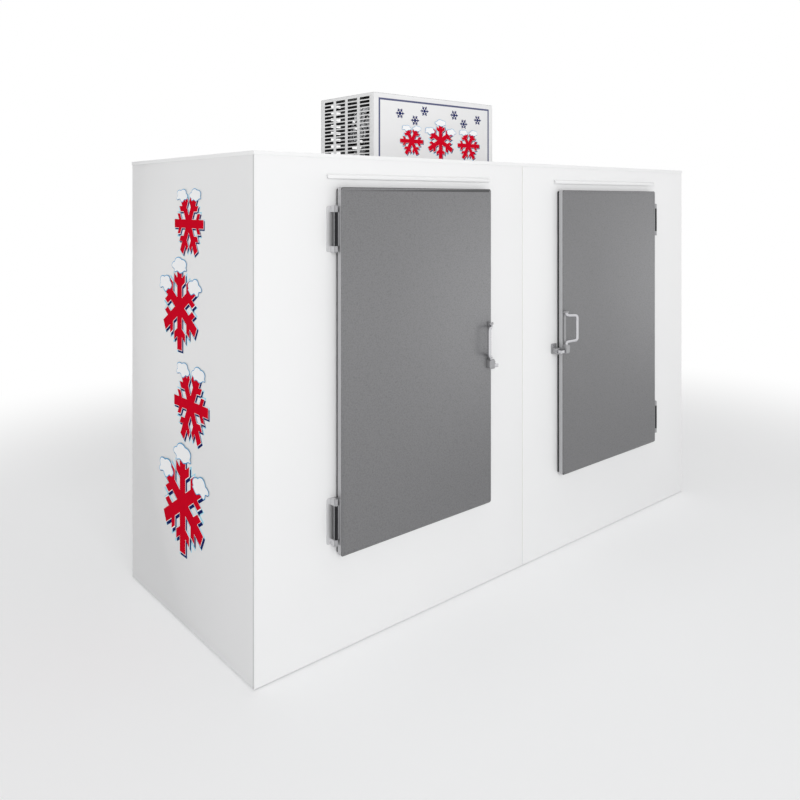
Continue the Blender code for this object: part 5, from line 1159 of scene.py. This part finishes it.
class MERCHANDISER_OT_stage(bpy.types.Operator):
    """Build the plain floor, the soft light and the camera"""

    bl_idname = "merchandiser.stage"
    bl_label = "Studio"

    def execute(self, context):
        scene = context.scene
        scene.view_settings.view_transform = "Standard"
        self.floor()
        self.world(scene)
        for settings in LAMPS:
            self.lamp(scene, *settings)
        data = bpy.data.cameras.new("camera")
        data.sensor_width = CAMERA_SENSOR
        data.lens = CAMERA_LENS
        data.shift_x, data.shift_y = CAMERA_SHIFT
        camera = bpy.data.objects.new("camera", data)
        camera.location = CAMERA_PLACE
        camera.rotation_euler = (RIGHT_ANGLE, 0, CAMERA_TURN)
        scene.collection.objects.link(camera)
        scene.camera = camera
        return {"FINISHED"}

    def floor(self):
        """A wide pale floor that fades into the white background."""
        clear_selection()
        bpy.ops.mesh.primitive_grid_add(x_subdivisions=FLOOR_CELLS, y_subdivisions=FLOOR_CELLS,
                                        size=FLOOR_SIZE)
        item = bpy.context.object
        item.name = "studio_floor"
        material = bpy.data.materials.new("studio_floor")
        material.use_nodes = True
        tree = material.node_tree
        shader = tree.nodes["Principled BSDF"]
        shader.inputs["Roughness"].default_value = FLOOR_ROUGHNESS
        shader.inputs["Specular IOR Level"].default_value = FLOOR_SPECULAR
        place = node(tree, "ShaderNodeTexCoord").outputs["Object"]
        distance = node(tree, "ShaderNodeVectorMath", {"operation": "LENGTH"}, {0: place})
        far = ramp(tree, distance.outputs["Value"], *FLOOR_FADE)
        speckle = noise(tree, place, FLOOR_SPECKLE_SCALE, 2.0)["Fac"]
        tone = blend_colours(tree, maths(tree, "MULTIPLY", speckle, FLOOR_SPECKLE), *FLOOR_TONES)
        tree.links.new(tone, shader.inputs["Base Color"])
        glow = node(tree, "ShaderNodeEmission", None, {"Color": WHITE, "Strength": 1.0})
        mix = node(tree, "ShaderNodeMixShader", None,
                   {0: spread(tree, far, *FLOOR_GLOW), 1: shader.outputs[0],
                    2: glow.outputs[0]})
        tree.links.new(mix.outputs[0], tree.nodes["Material Output"].inputs["Surface"])
        item.data.materials.append(material)

    def world(self, scene):
        """A white background with a softer fill on the object."""
        world = bpy.data.worlds.new("studio")
        scene.world = world
        world.use_nodes = True
        tree = world.node_tree
        tree.nodes.clear()
        path = node(tree, "ShaderNodeLightPath").outputs
        seen = maths(tree, "MAXIMUM", path["Is Camera Ray"], path["Is Glossy Ray"])
        seen = maths(tree, "MAXIMUM", seen, path["Is Transmission Ray"])
        fill, white = (node(tree, "ShaderNodeBackground", None,
                            {"Color": WHITE, "Strength": strength}).outputs[0]
                       for strength in (WORLD_FILL, 1.0))
        mix = node(tree, "ShaderNodeMixShader", None, {0: seen, 1: fill, 2: white})
        output = node(tree, "ShaderNodeOutputWorld", None, {"Surface": mix.outputs[0]})
        output.is_active_output = True

    def lamp(self, scene, name, place, target, size, power):
        """A square soft light aimed at a point."""
        data = bpy.data.lights.new(name, "AREA")
        data.energy = power
        data.size = size
        lamp = bpy.data.objects.new(name, data)
        lamp.location = place
        lamp.visible_camera = False
        lamp.visible_glossy = False
        heading = Vector(target) - Vector(place)
        lamp.rotation_euler = heading.to_track_quat("-Z", "Y").to_euler()
        scene.collection.objects.link(lamp)


OPERATORS = (
    MERCHANDISER_OT_panels,
    MERCHANDISER_OT_base,
    MERCHANDISER_OT_doors,
    MERCHANDISER_OT_hinges,
    MERCHANDISER_OT_handles,
    MERCHANDISER_OT_housing,
    MERCHANDISER_OT_condensing_unit,
    MERCHANDISER_OT_evaporator,
    MERCHANDISER_OT_side_artwork,
    MERCHANDISER_OT_sign_artwork,
    MERCHANDISER_OT_stage,
)


class VIEW3D_PT_merchandiser(bpy.types.Panel):
    """Lists the pieces of the merchandiser in the sidebar"""

    bl_label = "Ice Merchandiser"
    bl_space_type = "VIEW_3D"
    bl_region_type = "UI"
    bl_category = "Ice Merchandiser"

    def draw(self, context):
        column = self.layout.column(align=True)
        for operator in OPERATORS:
            column.operator(operator.bl_idname, text=operator.bl_label)
        for group in SETTINGS:
            settings = getattr(context.scene, group)
            box = self.layout.box()
            for key in settings.__annotations__:
                box.prop(settings, key)


CLASSES = (*SETTINGS.values(), *OPERATORS, VIEW3D_PT_merchandiser)


def register():
    """Register the classes and hang the settings on the scene."""
    for item in CLASSES:
        bpy.utils.register_class(item)
    for key, group in SETTINGS.items():
        setattr(bpy.types.Scene, key, bpy.props.PointerProperty(type=group))


def unregister():
    """Take the settings off the scene and unregister the classes."""
    for key in SETTINGS:
        delattr(bpy.types.Scene, key)
    for item in reversed(CLASSES):
        bpy.utils.unregister_class(item)


def main():
    """Run every operator in order."""
    register()
    bpy.ops.merchandiser.panels()
    bpy.ops.merchandiser.base()
    bpy.ops.merchandiser.doors()
    bpy.ops.merchandiser.hinges()
    bpy.ops.merchandiser.handles()
    bpy.ops.merchandiser.housing()
    bpy.ops.merchandiser.condensing_unit()
    bpy.ops.merchandiser.evaporator()
    bpy.ops.merchandiser.side_artwork()
    bpy.ops.merchandiser.sign_artwork()
    bpy.ops.merchandiser.stage()
    clear_selection()


if __name__ == "__main__":
    main()
